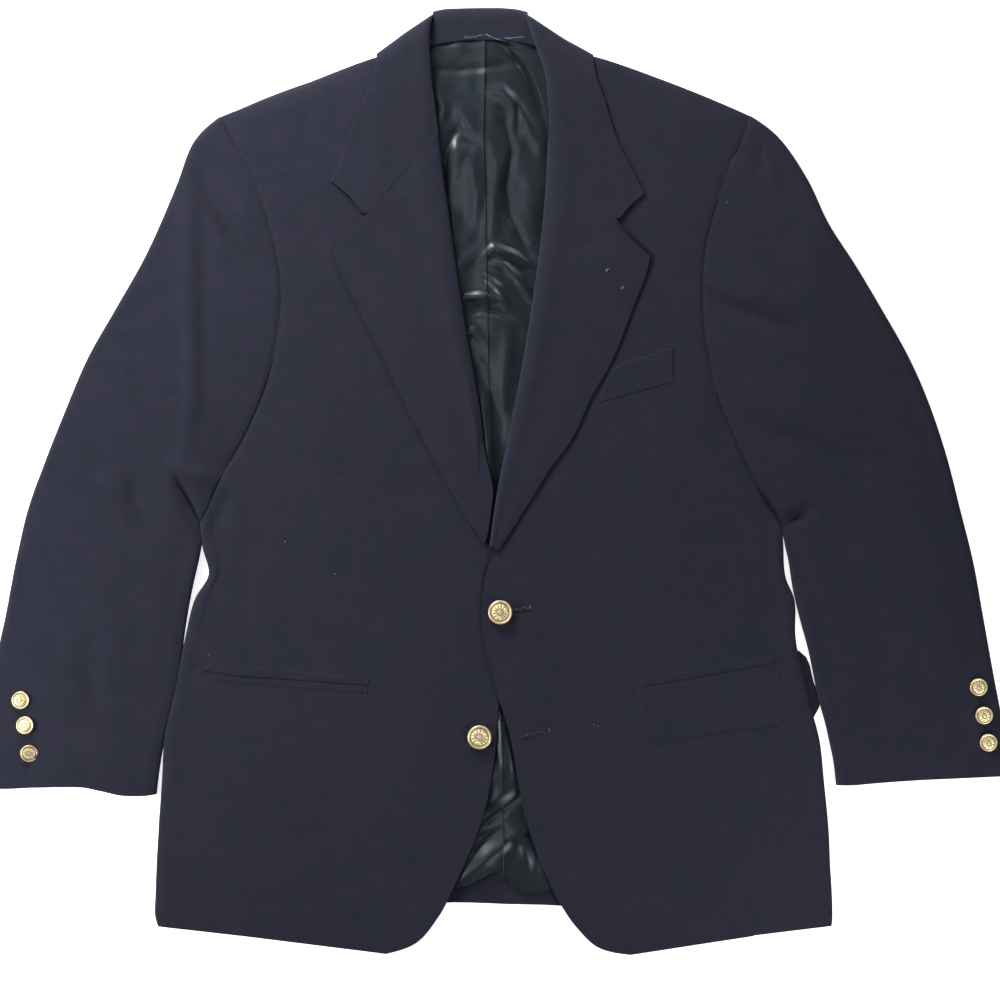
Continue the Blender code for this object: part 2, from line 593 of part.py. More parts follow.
def build_trim(name, side, pairs):
    """A welt, jet or flap that lies on the front, from pairs of points on its long edges."""
    rows = []
    for share in (0, 0.5, 1):
        row = []
        for top, bottom in pairs:
            x, y = mix_rows(top, bottom, share)
            row.append((x, y, front_height(side, x, y) + TRIM_LIFT))
        rows.append(row)
    cloth(name, rows, WOOL_TRIM, navy)


def button_mesh(name, radius):
    """Profile of a domed metal button with a rolled rim and a short shank, from the top down."""
    height = 0.34 * radius
    rim = 0.16 * radius
    outline = [(0, height), (0.45 * radius, 0.92 * height), (0.80 * radius, 0.68 * height),
               (0.93 * radius, 0.62 * height), (radius, 0.36 * height), (0.94 * radius, rim * 0.5),
               (0.30 * radius, rim * 0.4), (0.26 * radius, -0.10 * radius), (0, -0.10 * radius)]
    mesh = bpy.data.meshes.new(name)
    edges = [(number, number + 1) for number in range(len(outline) - 1)]
    mesh.from_pydata([(x * MM, 0, z * MM) for x, z in outline], edges, [])
    return mesh


def build_button(name, x, y, radius, surface):
    """A button that rests on the cloth, clear of the highest place under its shank."""
    reach = 0.3 * radius
    highest = max(surface(x + dx * reach, y + dy * reach) for dx in (-1, 0, 1) for dy in (-1, 0, 1))
    rest = highest + WOOL_BODY / 2 + BUTTON_CLEARANCE + 0.10 * radius
    button = add_object(name, button_mesh(name, radius), brass)
    button.location = to_world((x, y, rest))
    turn = button.modifiers.new("Turned shape", "SCREW")
    turn.axis = "Z"
    turn.steps = BUTTON_STEPS
    turn.render_steps = BUTTON_STEPS
    turn.use_merge_vertices = True
    turn.merge_threshold = 0.0001
    turn.use_smooth_shade = True


def build_buttons():
    for name, side, x, y in FRONT_BUTTONS:
        build_button(name, x, y, FRONT_BUTTON_RADIUS, lambda px, py, at=side: front_height(at, px, py))
    for side, places in CUFF_BUTTONS.items():
        for number, (x, y) in enumerate(places, 1):
            name = f"button_cuff_{side}_{number}"
            build_button(name, x, y, CUFF_BUTTON_RADIUS, lambda px, py: TOP_HEIGHT + SLEEVE_CROWN)


for leftover in list(bpy.data.objects):
    bpy.data.objects.remove(leftover, do_unlink=True)

blazer = bpy.data.collections.new("blazer")
bpy.context.scene.collection.children.link(blazer)
navy = material_named("Navy wool", NAVY, 0.9, 0.0)
satin = material_named("Teal satin lining", TEAL_SATIN, 0.4, 0.0)
brass = material_named("Gilt brass", BRASS, 0.35, 1.0)

for wearer_side in SIDES:
    build_back(wearer_side)
    build_back_lining(wearer_side)
    build_side_panel(wearer_side)
    build_front(wearer_side)
    build_lapel(wearer_side)
    build_collar_leaf(wearer_side)
    build_sleeve(wearer_side)
build_collar_back()
build_front_lining()
build_hem_turn_up()
build_trim("breast_pocket_welt", "left", WELT)
build_trim("pocket_jet_left", "left", JET_LEFT)
build_trim("pocket_flap_left", "left", FLAP)
build_trim("pocket_jet_right_upper", "right", JET_RIGHT_UPPER)
build_trim("pocket_jet_right_lower", "right", JET_RIGHT_LOWER)
build_buttons()
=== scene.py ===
# %% [markdown]
# A navy wool blazer lies flat on its back on a pale table, with its front up, and the camera looks
# straight down on it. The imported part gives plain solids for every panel. Here each panel gets its
# real cloth: rolled edges, soft creases, a twill weave, a satin lining with folds, and gilt buttons.

import math

import bmesh
import bpy
import numpy as np
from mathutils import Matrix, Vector


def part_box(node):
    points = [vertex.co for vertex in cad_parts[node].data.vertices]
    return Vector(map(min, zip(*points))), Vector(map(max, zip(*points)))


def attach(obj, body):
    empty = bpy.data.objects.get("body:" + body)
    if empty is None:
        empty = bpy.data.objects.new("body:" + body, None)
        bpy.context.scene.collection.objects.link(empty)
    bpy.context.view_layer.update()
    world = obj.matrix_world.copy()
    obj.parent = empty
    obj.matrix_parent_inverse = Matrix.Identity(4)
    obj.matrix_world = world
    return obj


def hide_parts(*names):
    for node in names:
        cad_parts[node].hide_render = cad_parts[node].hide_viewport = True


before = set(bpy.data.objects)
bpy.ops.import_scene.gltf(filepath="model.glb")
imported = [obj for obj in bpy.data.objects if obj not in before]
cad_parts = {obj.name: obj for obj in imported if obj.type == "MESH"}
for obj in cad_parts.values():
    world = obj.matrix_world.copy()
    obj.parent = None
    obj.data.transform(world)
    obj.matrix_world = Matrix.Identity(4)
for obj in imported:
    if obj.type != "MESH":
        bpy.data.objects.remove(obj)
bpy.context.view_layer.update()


# %% [markdown]
# The cut is easiest to read in millimetres, as a tailor's pattern is. X runs to the wearer's left,
# Y to the collar and Z up. One function turns such a place into the frame's metres.

# %% Units
MM = 0.001
CENTRE = np.array((1.0, -0.7, 0.0))
SIDES = {"right": -1, "left": 1}


def to_frame(points):
    """Places in the cut's millimetres as metres in the frame."""
    return (np.asarray(points, float) - CENTRE) * MM


# %% [markdown]
# A panel's outline comes from a short table of places along its two long edges. A smooth line
# through them keeps the drawn curve of a shoulder or a rounded front corner. The slope at each
# place weighs the steps on both sides by their length, so close places next to far ones don't
# make the line swing out.

# %% Smooth lines and fine grids
def smooth_line(knots, values, places):
    """Values on a smooth line through the given ones, at the asked places along it."""
    knots = np.asarray(knots, float)
    values = np.asarray(values, float)
    flat = values.reshape(len(knots), -1)
    step = np.diff(knots)[:, None]
    rise = np.diff(flat, axis=0) / step
    slope = np.empty_like(flat)
    slope[1:-1] = (step[1:] * rise[:-1] + step[:-1] * rise[1:]) / (step[1:] + step[:-1])
    slope[0] = 1.5 * rise[0] - 0.5 * slope[min(1, len(slope) - 2)]
    slope[-1] = 1.5 * rise[-1] - 0.5 * slope[max(-2, 1 - len(slope))]
    if len(knots) == 2:
        slope[:] = rise[0]
    number = np.clip(np.searchsorted(knots, places, side="right") - 1, 0, len(step) - 1)
    t = ((places - knots[number]) / step[number, 0])[:, None]
    start, end = flat[number], flat[number + 1]
    result = (2 * t**3 - 3 * t**2 + 1) * start + (3 * t**2 - 2 * t**3) * end
    result += step[number] * ((t**3 - 2 * t**2 + t) * slope[number] + (t**3 - t**2) * slope[number + 1])
    return result.reshape((len(places),) + values.shape[1:])


def knots_of(rows):
    """Distance along the cloth of each row, as a mean over its points."""
    gaps = np.linalg.norm(np.diff(rows, axis=0), axis=2).mean(axis=1)
    return np.concatenate(([0.0], np.cumsum(gaps)))


EDGE_STEPS = np.array((0.5, 1.2, 2.2, 3.6))
LEAST_GAP = 0.3


def fine_places(knots, spacing):
    """Every knot, enough places between them to keep the spacing, and closer ones at both ends."""
    places = [np.array(knots), knots[0] + EDGE_STEPS, knots[-1] - EDGE_STEPS]
    for start, end in zip(knots, knots[1:]):
        count = max(1, math.ceil((end - start) / spacing))
        places.append(start + (end - start) * np.arange(1, count) / count)
    places = np.unique(np.round(np.concatenate(places), 3))
    places = places[(places >= knots[0]) & (places <= knots[-1])]
    kept = [places[0]]
    for place in places[1:-1]:
        if place - kept[-1] > LEAST_GAP and places[-1] - place > LEAST_GAP:
            kept.append(place)
    return np.array(kept + [places[-1]])


def fine_grid(rows, spacing):
    """A smooth, fine grid through rows of points, with its distances across and down the cloth."""
    rows = np.array(rows, float)
    down, across = knots_of(rows), knots_of(rows.swapaxes(0, 1))
    fine_down, fine_across = fine_places(down, spacing), fine_places(across, spacing)
    grid = smooth_line(down, rows, fine_down)
    grid = smooth_line(across, grid.swapaxes(0, 1), fine_across).swapaxes(0, 1)
    return grid, fine_across, fine_down


# %% [markdown]
# Worn wool never lies quite flat. Each crease is drawn as a short line with a width and a height: a soft
# ridge where the cloth lifts, a trough where it sinks. A few long slow waves under them keep the rest of a
# panel from looking like a board. The lining is thin satin, so its folds are sharper and much more frequent.
# A cloth simulation would crease too, but in places of its own.

# %% Creases drawn one by one
# Layer, line through x, y, half width, height
CREASES = [
    ("sleeve_right", [(-282, 306), (-285, 258), (-284, 203), (-282, 138), (-281, 74), (-287, 37), (-295, 6)],
     9, 2.6),
    ("sleeve_right", [(-273, 262), (-272, 180), (-271, 110), (-274, 50)], 8, -1.0),
    ("sleeve_right", [(-272, 274), (-263, 256), (-251, 234), (-240, 215), (-223, 196)], 5, -3.8),
    ("sleeve_right", [(-248, 280), (-234, 248), (-220, 212)], 8, 1.9),
    ("sleeve_right", [(-297, 3), (-289, -13), (-281, -28), (-274, -41), (-272, -52)], 4.5, -6.8),
    ("sleeve_right", [(-300, 16), (-286, 8), (-270, 2), (-258, -4)], 8, 2.7),
    ("sleeve_right", [(-310, 0), (-300, -20), (-288, -44)], 9, 2.4),
    ("sleeve_right", [(-338, 4), (-335, -22), (-324, -46)], 9, -2.9),
    ("sleeve_right", [(-380, 26), (-360, 6)], 9, -1.5),
    ("sleeve_right", [(-412, -66), (-394, -100), (-377, -128), (-369, -186)], 12, -2.2),
    ("sleeve_right", [(-384, -168), (-374, -194), (-364, -216)], 9, -1.9),
    ("sleeve_right", [(-420, -30), (-400, -76), (-372, -120), (-350, -160)], 22, 2.2),
    ("sleeve_right", [(-320, -60), (-312, -120), (-318, -180)], 14, 1.5),
    ("sleeve_right", [(-430, -240), (-370, -262), (-330, -276)], 14, 1.5),
    ("sleeve_left", [(242, 308), (240, 296), (237, 279)], 4, -1.4),
    ("sleeve_left", [(252, 300), (251, 285), (248, 270)], 9, 0.7),
    ("sleeve_left", [(196, 174), (206, 164), (219, 158), (243, 149), (275, 138)], 6, -3.6),
    ("sleeve_left", [(198, 194), (226, 176), (268, 158)], 11, 2.0),
    ("sleeve_left", [(236, 62), (260, 48), (283, 37), (306, 23), (334, 0)], 10, -3.9),
    ("sleeve_left", [(250, 86), (290, 62), (330, 40)], 16, 1.7),
    ("sleeve_left", [(248, 30), (296, 2), (326, -20)], 12, 2.2),
    ("sleeve_left", [(243, -10), (250, -22), (262, -40)], 5, -4.4),
    ("sleeve_left", [(262, -40), (272, -36), (286, -28)], 5, -4.4),
    ("sleeve_left", [(254, 4), (270, -12), (292, -14)], 9, 3.1),
    ("sleeve_left", [(296, -56), (320, -64), (338, -86)], 13, -2.0),
    ("sleeve_left", [(300, 250), (292, 200), (300, 150)], 22, 1.5),
    ("sleeve_left", [(386, -10), (404, -110), (414, -200)], 26, 1.9),
    ("sleeve_left", [(338, -120), (350, -180), (352, -240)], 18, -1.4),
    ("body", [(-262, -46), (-254, -28), (-249, -12)], 7, -1.8),
    ("body", [(-212, 300), (-150, 262), (-96, 220)], 34, 1.2),
    ("body", [(-190, 190), (-160, 90), (-150, -30)], 30, 1.3),
    ("body", [(-96, 8), (-70, -16), (-46, -40)], 22, -1.6),
    ("body", [(-60, -170), (-70, -260), (-90, -350)], 30, 1.3),
    ("body", [(-160, -230), (-150, -310), (-140, -400)], 34, -1.0),
    ("body", [(84, -338), (112, -366), (150, -392)], 15, -1.8),
    ("body", [(60, -320), (80, -355), (104, -396)], 14, 1.6),
    ("body", [(50, -150), (70, -210), (60, -280)], 24, 1.0),
    ("body", [(120, 60), (150, -30), (170, -120)], 30, 1.0),
    ("body", [(196, 120), (176, 60), (196, 0)], 22, 1.0),
    ("body", [(130, 330), (160, 280), (172, 210)], 26, 1.0),
    ("body", [(40, 216), (66, 214), (94, 218)], 7, -0.7),
    ("body", [(236, -120), (254, -150), (262, -176)], 12, -1.3),
]
# Layers that share a seam, line through x, y, half width, depth
SEAMS = []
# Layers, line through x, y, half width, strength: painted shade along seams, deep creases and edges
PAINTED_SHADE_LINES = [
    (("sleeve_right",), [(-297, 2), (-289, -13), (-281, -28), (-274, -41)], 1.9, 0.8),
    (("sleeve_right",), [(-272, 262), (-262, 246), (-251, 232), (-238, 214), (-224, 199)], 3.0, 0.3),
    (("sleeve_right",), [(-338, 2), (-335, -22), (-326, -42)], 5.0, 0.2),
    (("sleeve_left",), [(241, 306), (241, 294), (239, 280)], 1.6, 0.4),
    (("sleeve_left",), [(198, 175), (212, 166), (228, 161), (250, 152), (274, 143)], 3.2, 0.35),
    (("sleeve_left",), [(240, 58), (262, 49), (282, 43), (310, 31), (338, 18)], 5.0, 0.22),
    (("sleeve_left",), [(243, -12), (252, -24), (262, -38)], 1.8, 0.7),
    (("sleeve_left",), [(262, -30), (272, -31), (286, -36)], 2.4, 0.45),
    (("body",), [(-288, -168), (-272, -175), (-250, -179.1), (-224, -181.7), (-188, -183.8), (-151, -186.7),
                 (-119, -189)], 1.0, 0.85),
    (("body",), [(129, -191.4), (150, -187.6), (190, -180.6), (225, -174.2), (268, -166.5)], 1.0, 0.4),
    (("body",), [(-152.6, 209.5), (-144.8, 190.4), (-131.8, 162.4), (-113.8, 126.5), (-95.8, 88.5),
                 (-76.8, 50.5), (-56.8, 13.5), (-40, -17)], 1.2, 0.5),
    (("body",), [(-155, 275.6), (-148, 269), (-137, 259.5), (-127, 250)], 1.2, 0.55),
    (("body",), [(111, 235.4), (125, 221.6), (142.6, 206.4), (142, 198), (138, 188)], 2.0, 1.0),
    (("body",), [(136.8, 188), (125.7, 161), (112.8, 126), (100.8, 99.6), (86.8, 75.6), (69.8, 38.6),
                 (48.6, 10)], 1.0, 0.2),
    (("body",), [(136, 264), (129.8, 277), (121.8, 291), (112.8, 308)], 1.0, 0.15),
    (("front",), [(-3, -58), (-8, -74), (-12.9, -87), (-14.7, -101), (-14.8, -118)], 1.3, 0.8),
    (("front",), [(-15, -120), (-14, -142), (-4, -186), (6, -218)], 1.3, 0.4),
]


def crease_shape(x, y, line, half_width, end_share=0.3):
    """1 on a crease's line, falling off to its sides and, down to a share, towards both ends."""
    line = np.array(line, float)
    lengths = np.linalg.norm(np.diff(line, axis=0), axis=1)
    nearest = np.full(x.shape, 1e9)
    share = np.zeros(x.shape)
    done = 0.0
    for (x0, y0), (x1, y1), length in zip(line, line[1:], lengths):
        along = np.clip(((x - x0) * (x1 - x0) + (y - y0) * (y1 - y0)) / length**2, 0, 1)
        distance = np.hypot(x - x0 - along * (x1 - x0), y - y0 - along * (y1 - y0))
        nearer = distance < nearest
        nearest = np.where(nearer, distance, nearest)
        share = np.where(nearer, (done + along * length) / lengths.sum(), share)
        done += length
    return np.exp(-((nearest / half_width) ** 2)) * (end_share + (1 - end_share) * np.sin(np.pi * share))


def slow_waves(x, y, seed, longest, count=14):
    """Soft unevenness between -1 and 1, the same on every run."""
    chance = np.random.default_rng(seed)
    total = np.zeros(np.shape(x))
    for number in range(count):
        wave = 2 * np.pi / (longest * chance.uniform(0.35, 1.0))
        angle, phase = chance.uniform(0, np.pi), chance.uniform(0, 2 * np.pi)
        total += np.sin(wave * (x * np.cos(angle) + y * np.sin(angle)) + phase)
    return total / count * 1.8


# Height, seed and longest wave of the soft unevenness
WOOL_WAVES = ((0.6, 3, 190), (0.15, 4, 46))
LINING_WAVES = ((0.5, 5, 34),)
LINING_LOWEST = -0.6
# How much of the painted shade stays towards a line's ends
SHADE_END_SHARE = 0.6


def painted_shade_of(layers, x, y):
    """How much painted shade each place of some layers gets, from 0 to 1."""
    dark = np.zeros(x.shape)
    for line_layers, line, half_width, amount in PAINTED_SHADE_LINES:
        if set(layers) & set(line_layers):
            dark = np.maximum(dark, amount * crease_shape(x, y, line, half_width, SHADE_END_SHARE))
    return dark


def relief(layers, x, y):
    """How far the cloth of some layers lies above or below its even height."""
    height = np.zeros(x.shape)
    for layer, line, half_width, rise in CREASES:
        if layer in layers:
            height += rise * crease_shape(x, y, line, half_width)
    for seam_layers, line, half_width, depth in SEAMS:
        if set(layers) & set(seam_layers):
            height -= depth * crease_shape(x, y, line, half_width, 1.0)
    is_lining = "lining" in layers
    if is_lining:
        for puff_x, puff_y, reach_x, reach_y, rise in LINING_PUFFS:
            height += rise * np.exp(-(((x - puff_x) / reach_x) ** 2) - ((y - puff_y) / reach_y) ** 2)
    for rise, seed, longest in LINING_WAVES if is_lining else WOOL_WAVES:
        height = height + rise * slow_waves(x, y, seed, longest)
    return np.maximum(height, LINING_LOWEST) if is_lining else height


print("creases", len(CREASES))

# %% [markdown]
# The fronts are fullest over the chest, the left front rides over the right one at the buttons, and
# everything near the neck is carried by the collar behind it. Each panel could have heights of its
# own, but then panels that lie on each other would cut through. So all of them share these.

# %% Heights where the panels lie on each other
BACK_HEIGHT = 0.75
LINING_HEIGHT = 2.6
FRONT_LINING_HEIGHT = 4.0
UNDER_HEIGHT = 1.1
TOP_HEIGHT = 6.3
CHEST_RISE = 1.6
CHEST_HALF_WIDTH = 230.0
SHOULDER_EDGE_HEIGHT = 3.4
LAPEL_LIFT = 2.9
TRIM_LIFT = 1.05
OVERLAP_LIFT = 2.3
VENT_LIFT = 1.9
NECK_LIFT = 2.5
HEM_FOLD_LIFT = 1.4
# Where each of these lifts sets in and where it is full
NECK_RIGHT = (-168, -112)
NECK_LEFT = (146, 90)
NECK_UP = (296, 374)
OVERLAP_ACROSS = (64, 24)
OVERLAP_TOP = (40, -12)
OVERLAP_BOTTOM = (-280, -232)
HEM_FOLD = (-326, -350)


def ramp(start, end, value):
    """Smooth rise from 0 at start to 1 at end."""
    t = min(1.0, max(0.0, (value - start) / (end - start)))
    return t * t * (3 - 2 * t)


def neck_lift(x, y):
    return NECK_LIFT * ramp(*NECK_RIGHT, x) * ramp(*NECK_LEFT, x) * ramp(*NECK_UP, y)


def body_height(x, y):
    across = x / CHEST_HALF_WIDTH
    return TOP_HEIGHT + CHEST_RISE * max(0.0, 1 - across * across) + neck_lift(x, y)


def front_height(side, x, y):
    lift = 0.0
    if side == "left":
        lift = OVERLAP_LIFT * ramp(*OVERLAP_ACROSS, x) * ramp(*OVERLAP_TOP, y) * ramp(*OVERLAP_BOTTOM, y)
    return body_height(x, y) + lift


def lining_height(x, y):
    return LINING_HEIGHT + neck_lift(x, y) + HEM_FOLD_LIFT * ramp(*HEM_FOLD, y)


# %% [markdown]
# A cloth panel could be a flat plane with a thickness, but its edges would be knife sharp. Here the
# fine grid is the middle of the cloth. Two skins lie half a thickness above and below it, and three
# loops round its rim turn the edge over, so every seam reads as a soft groove. Creases fade out where
# a panel turns down to the table, and no cloth goes below it.

# %% Cloth with turned edges
WOOL = 2.2
WOOL_LAPEL = 1.7
WOOL_BACK = 1.5
WOOL_TRIM = 0.8
SATIN = 1.0
FOLD_GROW = 0.6
RIM_ANGLES = [math.radians(degrees) for degrees in (50, 0, -50)]
# Creases start this high above the table, and are full this much further up
CREASE_START = 2.4
CREASE_REACH = 3.2
TABLE_CLEARANCE = 0.02
# The shortest length that a panel's measured length is raised to, in metres. The
# shortest side that a sheet may state, in metres
SMALLEST_CUT = 0.0102


def unit(vectors):
    return vectors / np.maximum(np.linalg.norm(vectors, axis=-1, keepdims=True), 1e-9)


def outward_at_edges(grid, reach):
    """Step out of the panel at each edge point, by each edge's own reach, and nothing inside it."""
    outward = np.zeros_like(grid)
    outward[0] += unit(grid[0] - grid[1]) * reach["top"]
    outward[-1] += unit(grid[-1] - grid[-2]) * reach["bottom"]
    outward[:, 0] += unit(grid[:, 0] - grid[:, 1]) * reach["start"]
    outward[:, -1] += unit(grid[:, -1] - grid[:, -2]) * reach["end"]
    return outward


def edge_loop(rows, columns):
    """Grid positions once round a panel's edge."""
    loop = [(0, c) for c in range(columns - 1)] + [(r, columns - 1) for r in range(rows - 1)]
    loop += [(rows - 1, c) for c in range(columns - 1, 0, -1)] + [(r, 0) for r in range(rows - 1, 0, -1)]
    return np.array(loop)


def face_outwards(mesh, weld=0.0):
    """Turn all faces of a closed mesh outwards, after welding points that lie together if asked."""
    shape = bmesh.new()
    shape.from_mesh(mesh)
    if weld:
        bmesh.ops.remove_doubles(shape, verts=shape.verts, dist=weld)
    bmesh.ops.recalc_face_normals(shape, faces=shape.faces)
    shape.to_mesh(mesh)
    shape.free()
    mesh.shade_smooth()


def add_piece(name, mesh, material, node=None):
    """A mesh as a piece of the blazer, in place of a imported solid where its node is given."""
    piece = bpy.data.objects.new(name, mesh)
    bpy.context.scene.collection.objects.link(piece)
    piece.data.materials.append(material)
    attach(piece, "root")
    if node:
        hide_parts(node)
    return piece


def cloth_mesh(name, grid, across, down, thickness, rim, dark):
    """A closed mesh of the cloth, with its grain as UVs in millimetres and its painted shade."""
    rows, columns = grid.shape[:2]
    outward = outward_at_edges(grid, rim)
    middle = grid - outward
    normals = unit(np.cross(np.gradient(middle, axis=0), np.gradient(middle, axis=1)))
    highest = np.unravel_index(np.argmax(middle[..., 2]), (rows, columns))
    normals *= np.sign(normals[highest][2]) or 1.0
    half = thickness / 2
    loop = edge_loop(rows, columns)
    at = (loop[:, 0], loop[:, 1])
    skins = [(middle + normals * half).reshape(-1, 3), (middle - normals * half).reshape(-1, 3)]
    for angle in RIM_ANGLES:
        skins.append(middle[at] + outward[at] * math.cos(angle) + normals[at] * half * math.sin(angle))
    points = np.concatenate(skins)
    number = np.arange(rows * columns).reshape(rows, columns)
    quads = np.stack((number[:-1, :-1], number[1:, :-1], number[1:, 1:], number[:-1, 1:]), axis=-1)
    quads = quads.reshape(-1, 4)
    chain = [number[at]]
    chain += [2 * rows * columns + step * len(loop) + np.arange(len(loop)) for step in range(len(RIM_ANGLES))]
    chain.append(number[at] + rows * columns)
    faces = [quads, quads[:, ::-1] + rows * columns]
    for upper, lower in zip(chain, chain[1:]):
        faces.append(np.stack((upper, np.roll(upper, -1), np.roll(lower, -1), lower), axis=-1))
    mesh = bpy.data.meshes.new(name)
    mesh.from_pydata(to_frame(points).tolist(), [], np.concatenate(faces).tolist())
    grain = np.stack(np.meshgrid(across, down), axis=-1)
    grain = np.concatenate([grain.reshape(-1, 2)] * 2 + [grain[at]] * len(RIM_ANGLES))
    corners = np.empty(len(mesh.loops), int)
    mesh.loops.foreach_get("vertex_index", corners)
    mesh.uv_layers.new(name="Grain").data.foreach_set("uv", grain[corners].ravel())
    # Painted shade at every point, the same on both skins and round the rim
    shade_per_point = np.concatenate([dark.ravel()] * 2 + [dark[at]] * len(RIM_ANGLES))
    mesh.attributes.new("Painted shade", "FLOAT", "POINT").data.foreach_set("value", shade_per_point)
    face_outwards(mesh)
    return mesh


SEAM_LINES = {}
# An edge within this distance of a seam's line is drawn onto it, fully so when nearer by the fade
SEAM_CATCH = 4.5
SEAM_FADE = 1.5
SEAM_EASE = 30.0
SEAM_OVERLAP = 0.2


def pull_to_seams(grid, edge, names):
    """Bring one edge of a panel onto its seams' lines and a little past them, easing off inwards."""
    turned = grid.swapaxes(0, 1)
    panel = {"top": grid, "bottom": grid[::-1], "start": turned, "end": turned[::-1]}[edge]
    border = panel[0, :, :2].copy()
    line = np.concatenate([SEAM_LINES[name] for name in names])
    distances = np.linalg.norm(border[:, None] - line[None], axis=2)
    nearest = line[distances.argmin(axis=1)]
    caught = np.clip((SEAM_CATCH - distances.min(axis=1)) / SEAM_FADE, 0, 1)[:, None]
    outward = unit(panel[0] - panel[3])[:, :2]
    move = (nearest - border + outward * SEAM_OVERLAP) * caught
    inwards = np.linalg.norm(panel[..., :2] - border, axis=2)[..., None]
    panel[..., :2] += move * np.clip(1 - inwards / SEAM_EASE, 0, 1)


def cloth(name, node, rows, thickness, material, layers, spacing=4.0, rim=0.6, sewn=None):
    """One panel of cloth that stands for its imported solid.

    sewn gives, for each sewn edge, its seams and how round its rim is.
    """
    rims = {edge: rim for edge in ("top", "bottom", "start", "end")}
    grid, across, down = fine_grid(rows, spacing)
    for edge, (names, roundness) in (sewn or {}).items():
        rims[edge] = roundness
        if names:
            pull_to_seams(grid, edge, names)
    free = 1.0 if "lining" in layers else np.clip((grid[..., 2] - CREASE_START) / CREASE_REACH, 0, 1)
    grid[..., 2] += relief(layers, grid[..., 0], grid[..., 1]) * free
    grid[..., 2] = np.maximum(grid[..., 2], thickness / 2 + TABLE_CLEARANCE)
    # Painted shade along seams, deep creases and edges
    dark = painted_shade_of(layers, grid[..., 0], grid[..., 1])
    mesh = cloth_mesh(name, grid, across, down, thickness, rims, dark)
    panel = add_piece(name, mesh, material, node)
    length = np.linalg.norm(np.diff(grid, axis=0), axis=2).sum(axis=0).max() * MM
    length = max(length, SMALLEST_CUT)


# %% [markdown]
# Wool twill shows as fine diagonal wales. A node group makes them from the grain UVs, so they turn
# with each sleeve and lapel. The satin uses the same group with other values: its threads float
# straight, with hardly any diagonal.

# %% Weave as a shader node group
def socket(group, name, way, kind="NodeSocketFloat", value=None):
    made = group.interface.new_socket(name=name, in_out=way, socket_type=kind)
    if value is not None:
        made.default_value = value
    return made


def link(tree, start, end):
    tree.links.new(start, end)


def feed(tree, value, entry):
    """Give an input a number or a colour, or another node's output."""
    if isinstance(value, bpy.types.NodeSocket):
        link(tree, value, entry)
    else:
        entry.default_value = value


def math_node(tree, operation, *values):
    node = tree.nodes.new("ShaderNodeMath")
    node.operation = operation
    for place, value in enumerate(values):
        feed(tree, value, node.inputs[place])
    return node.outputs[0]


def noise_node(tree, place, scale, detail):
    node = tree.nodes.new("ShaderNodeTexNoise")
    node.inputs["Detail"].default_value = detail
    feed(tree, scale, node.inputs["Scale"])
    link(tree, place, node.inputs["Vector"])
    return node.outputs["Fac"]


# How much of the surface's height the diagonal wales and the weft threads make
WALE_SHARE = 0.7
WEFT_SHARE = 0.3
# Scale per mm, and detail, of the noise that bends the threads and of the one that shades them
BEND_NOISE = (0.35, 3.0)
FIBRE_NOISE = (0.9, 4.0)
SHADE_GAIN = 1.6


def build_weave_group():
    """Thread height and shade from grain UVs in millimetres. The shade is painted shade in the valleys
    between threads and random fibre tone on their tops.
    """
    group = bpy.data.node_groups.new("Woven threads", "ShaderNodeTree")
    socket(group, "Grain", "INPUT", "NodeSocketVector")
    socket(group, "Threads per mm", "INPUT", value=1.2)
    socket(group, "Diagonal", "INPUT", value=1.0)
    socket(group, "Unevenness", "INPUT", value=0.5)
    socket(group, "Height", "OUTPUT")
    socket(group, "Shade", "OUTPUT")
    start, end = group.nodes.new("NodeGroupInput"), group.nodes.new("NodeGroupOutput")
    split = group.nodes.new("ShaderNodeSeparateXYZ")
    link(group, start.outputs["Grain"], split.inputs[0])
    slanted = math_node(group, "MULTIPLY", split.outputs["X"], start.outputs["Diagonal"])
    along = math_node(group, "ADD", slanted, split.outputs["Y"])
    bend = noise_node(group, start.outputs["Grain"], *BEND_NOISE)
    wobble = math_node(group, "MULTIPLY", bend, start.outputs["Unevenness"])
    wales = math_node(group, "ADD", along, wobble)
    crossings = []
    for way, share in ((wales, WALE_SHARE), (split.outputs["X"], WEFT_SHARE)):
        turns = math_node(group, "MULTIPLY", way, start.outputs["Threads per mm"])
        wave = math_node(group, "SINE", math_node(group, "MULTIPLY", turns, 2 * math.pi))
        crossings.append(math_node(group, "MULTIPLY", wave, share))
    both = math_node(group, "ADD", *crossings)
    height = math_node(group, "ADD", math_node(group, "MULTIPLY", both, 0.5), 0.5)
    link(group, height, end.inputs["Height"])
    # Painted shade in the valleys between threads, random fibre tone on their tops
    shade = math_node(group, "MULTIPLY", noise_node(group, start.outputs["Grain"], *FIBRE_NOISE), height)
    link(group, math_node(group, "MULTIPLY", shade, SHADE_GAIN), end.inputs["Shade"])
    return group


WEAVE = build_weave_group()
print("weave group sockets", [item.name for item in WEAVE.interface.items_tree])

# %% [markdown]
# Cloth that has been worn and pressed is never one even colour. A second group makes faint clouds
# and a finer mottling from the place on the garment. Every material here uses it at its own scale.

# %% Mottling as a shader node group
# Scale against the clouds, and detail, of the two layers; then the finer one's weight
MOTTLE_LAYERS = ((1.0, 4.0), (9.0, 3.0))
FINE_SHARE = 1.1


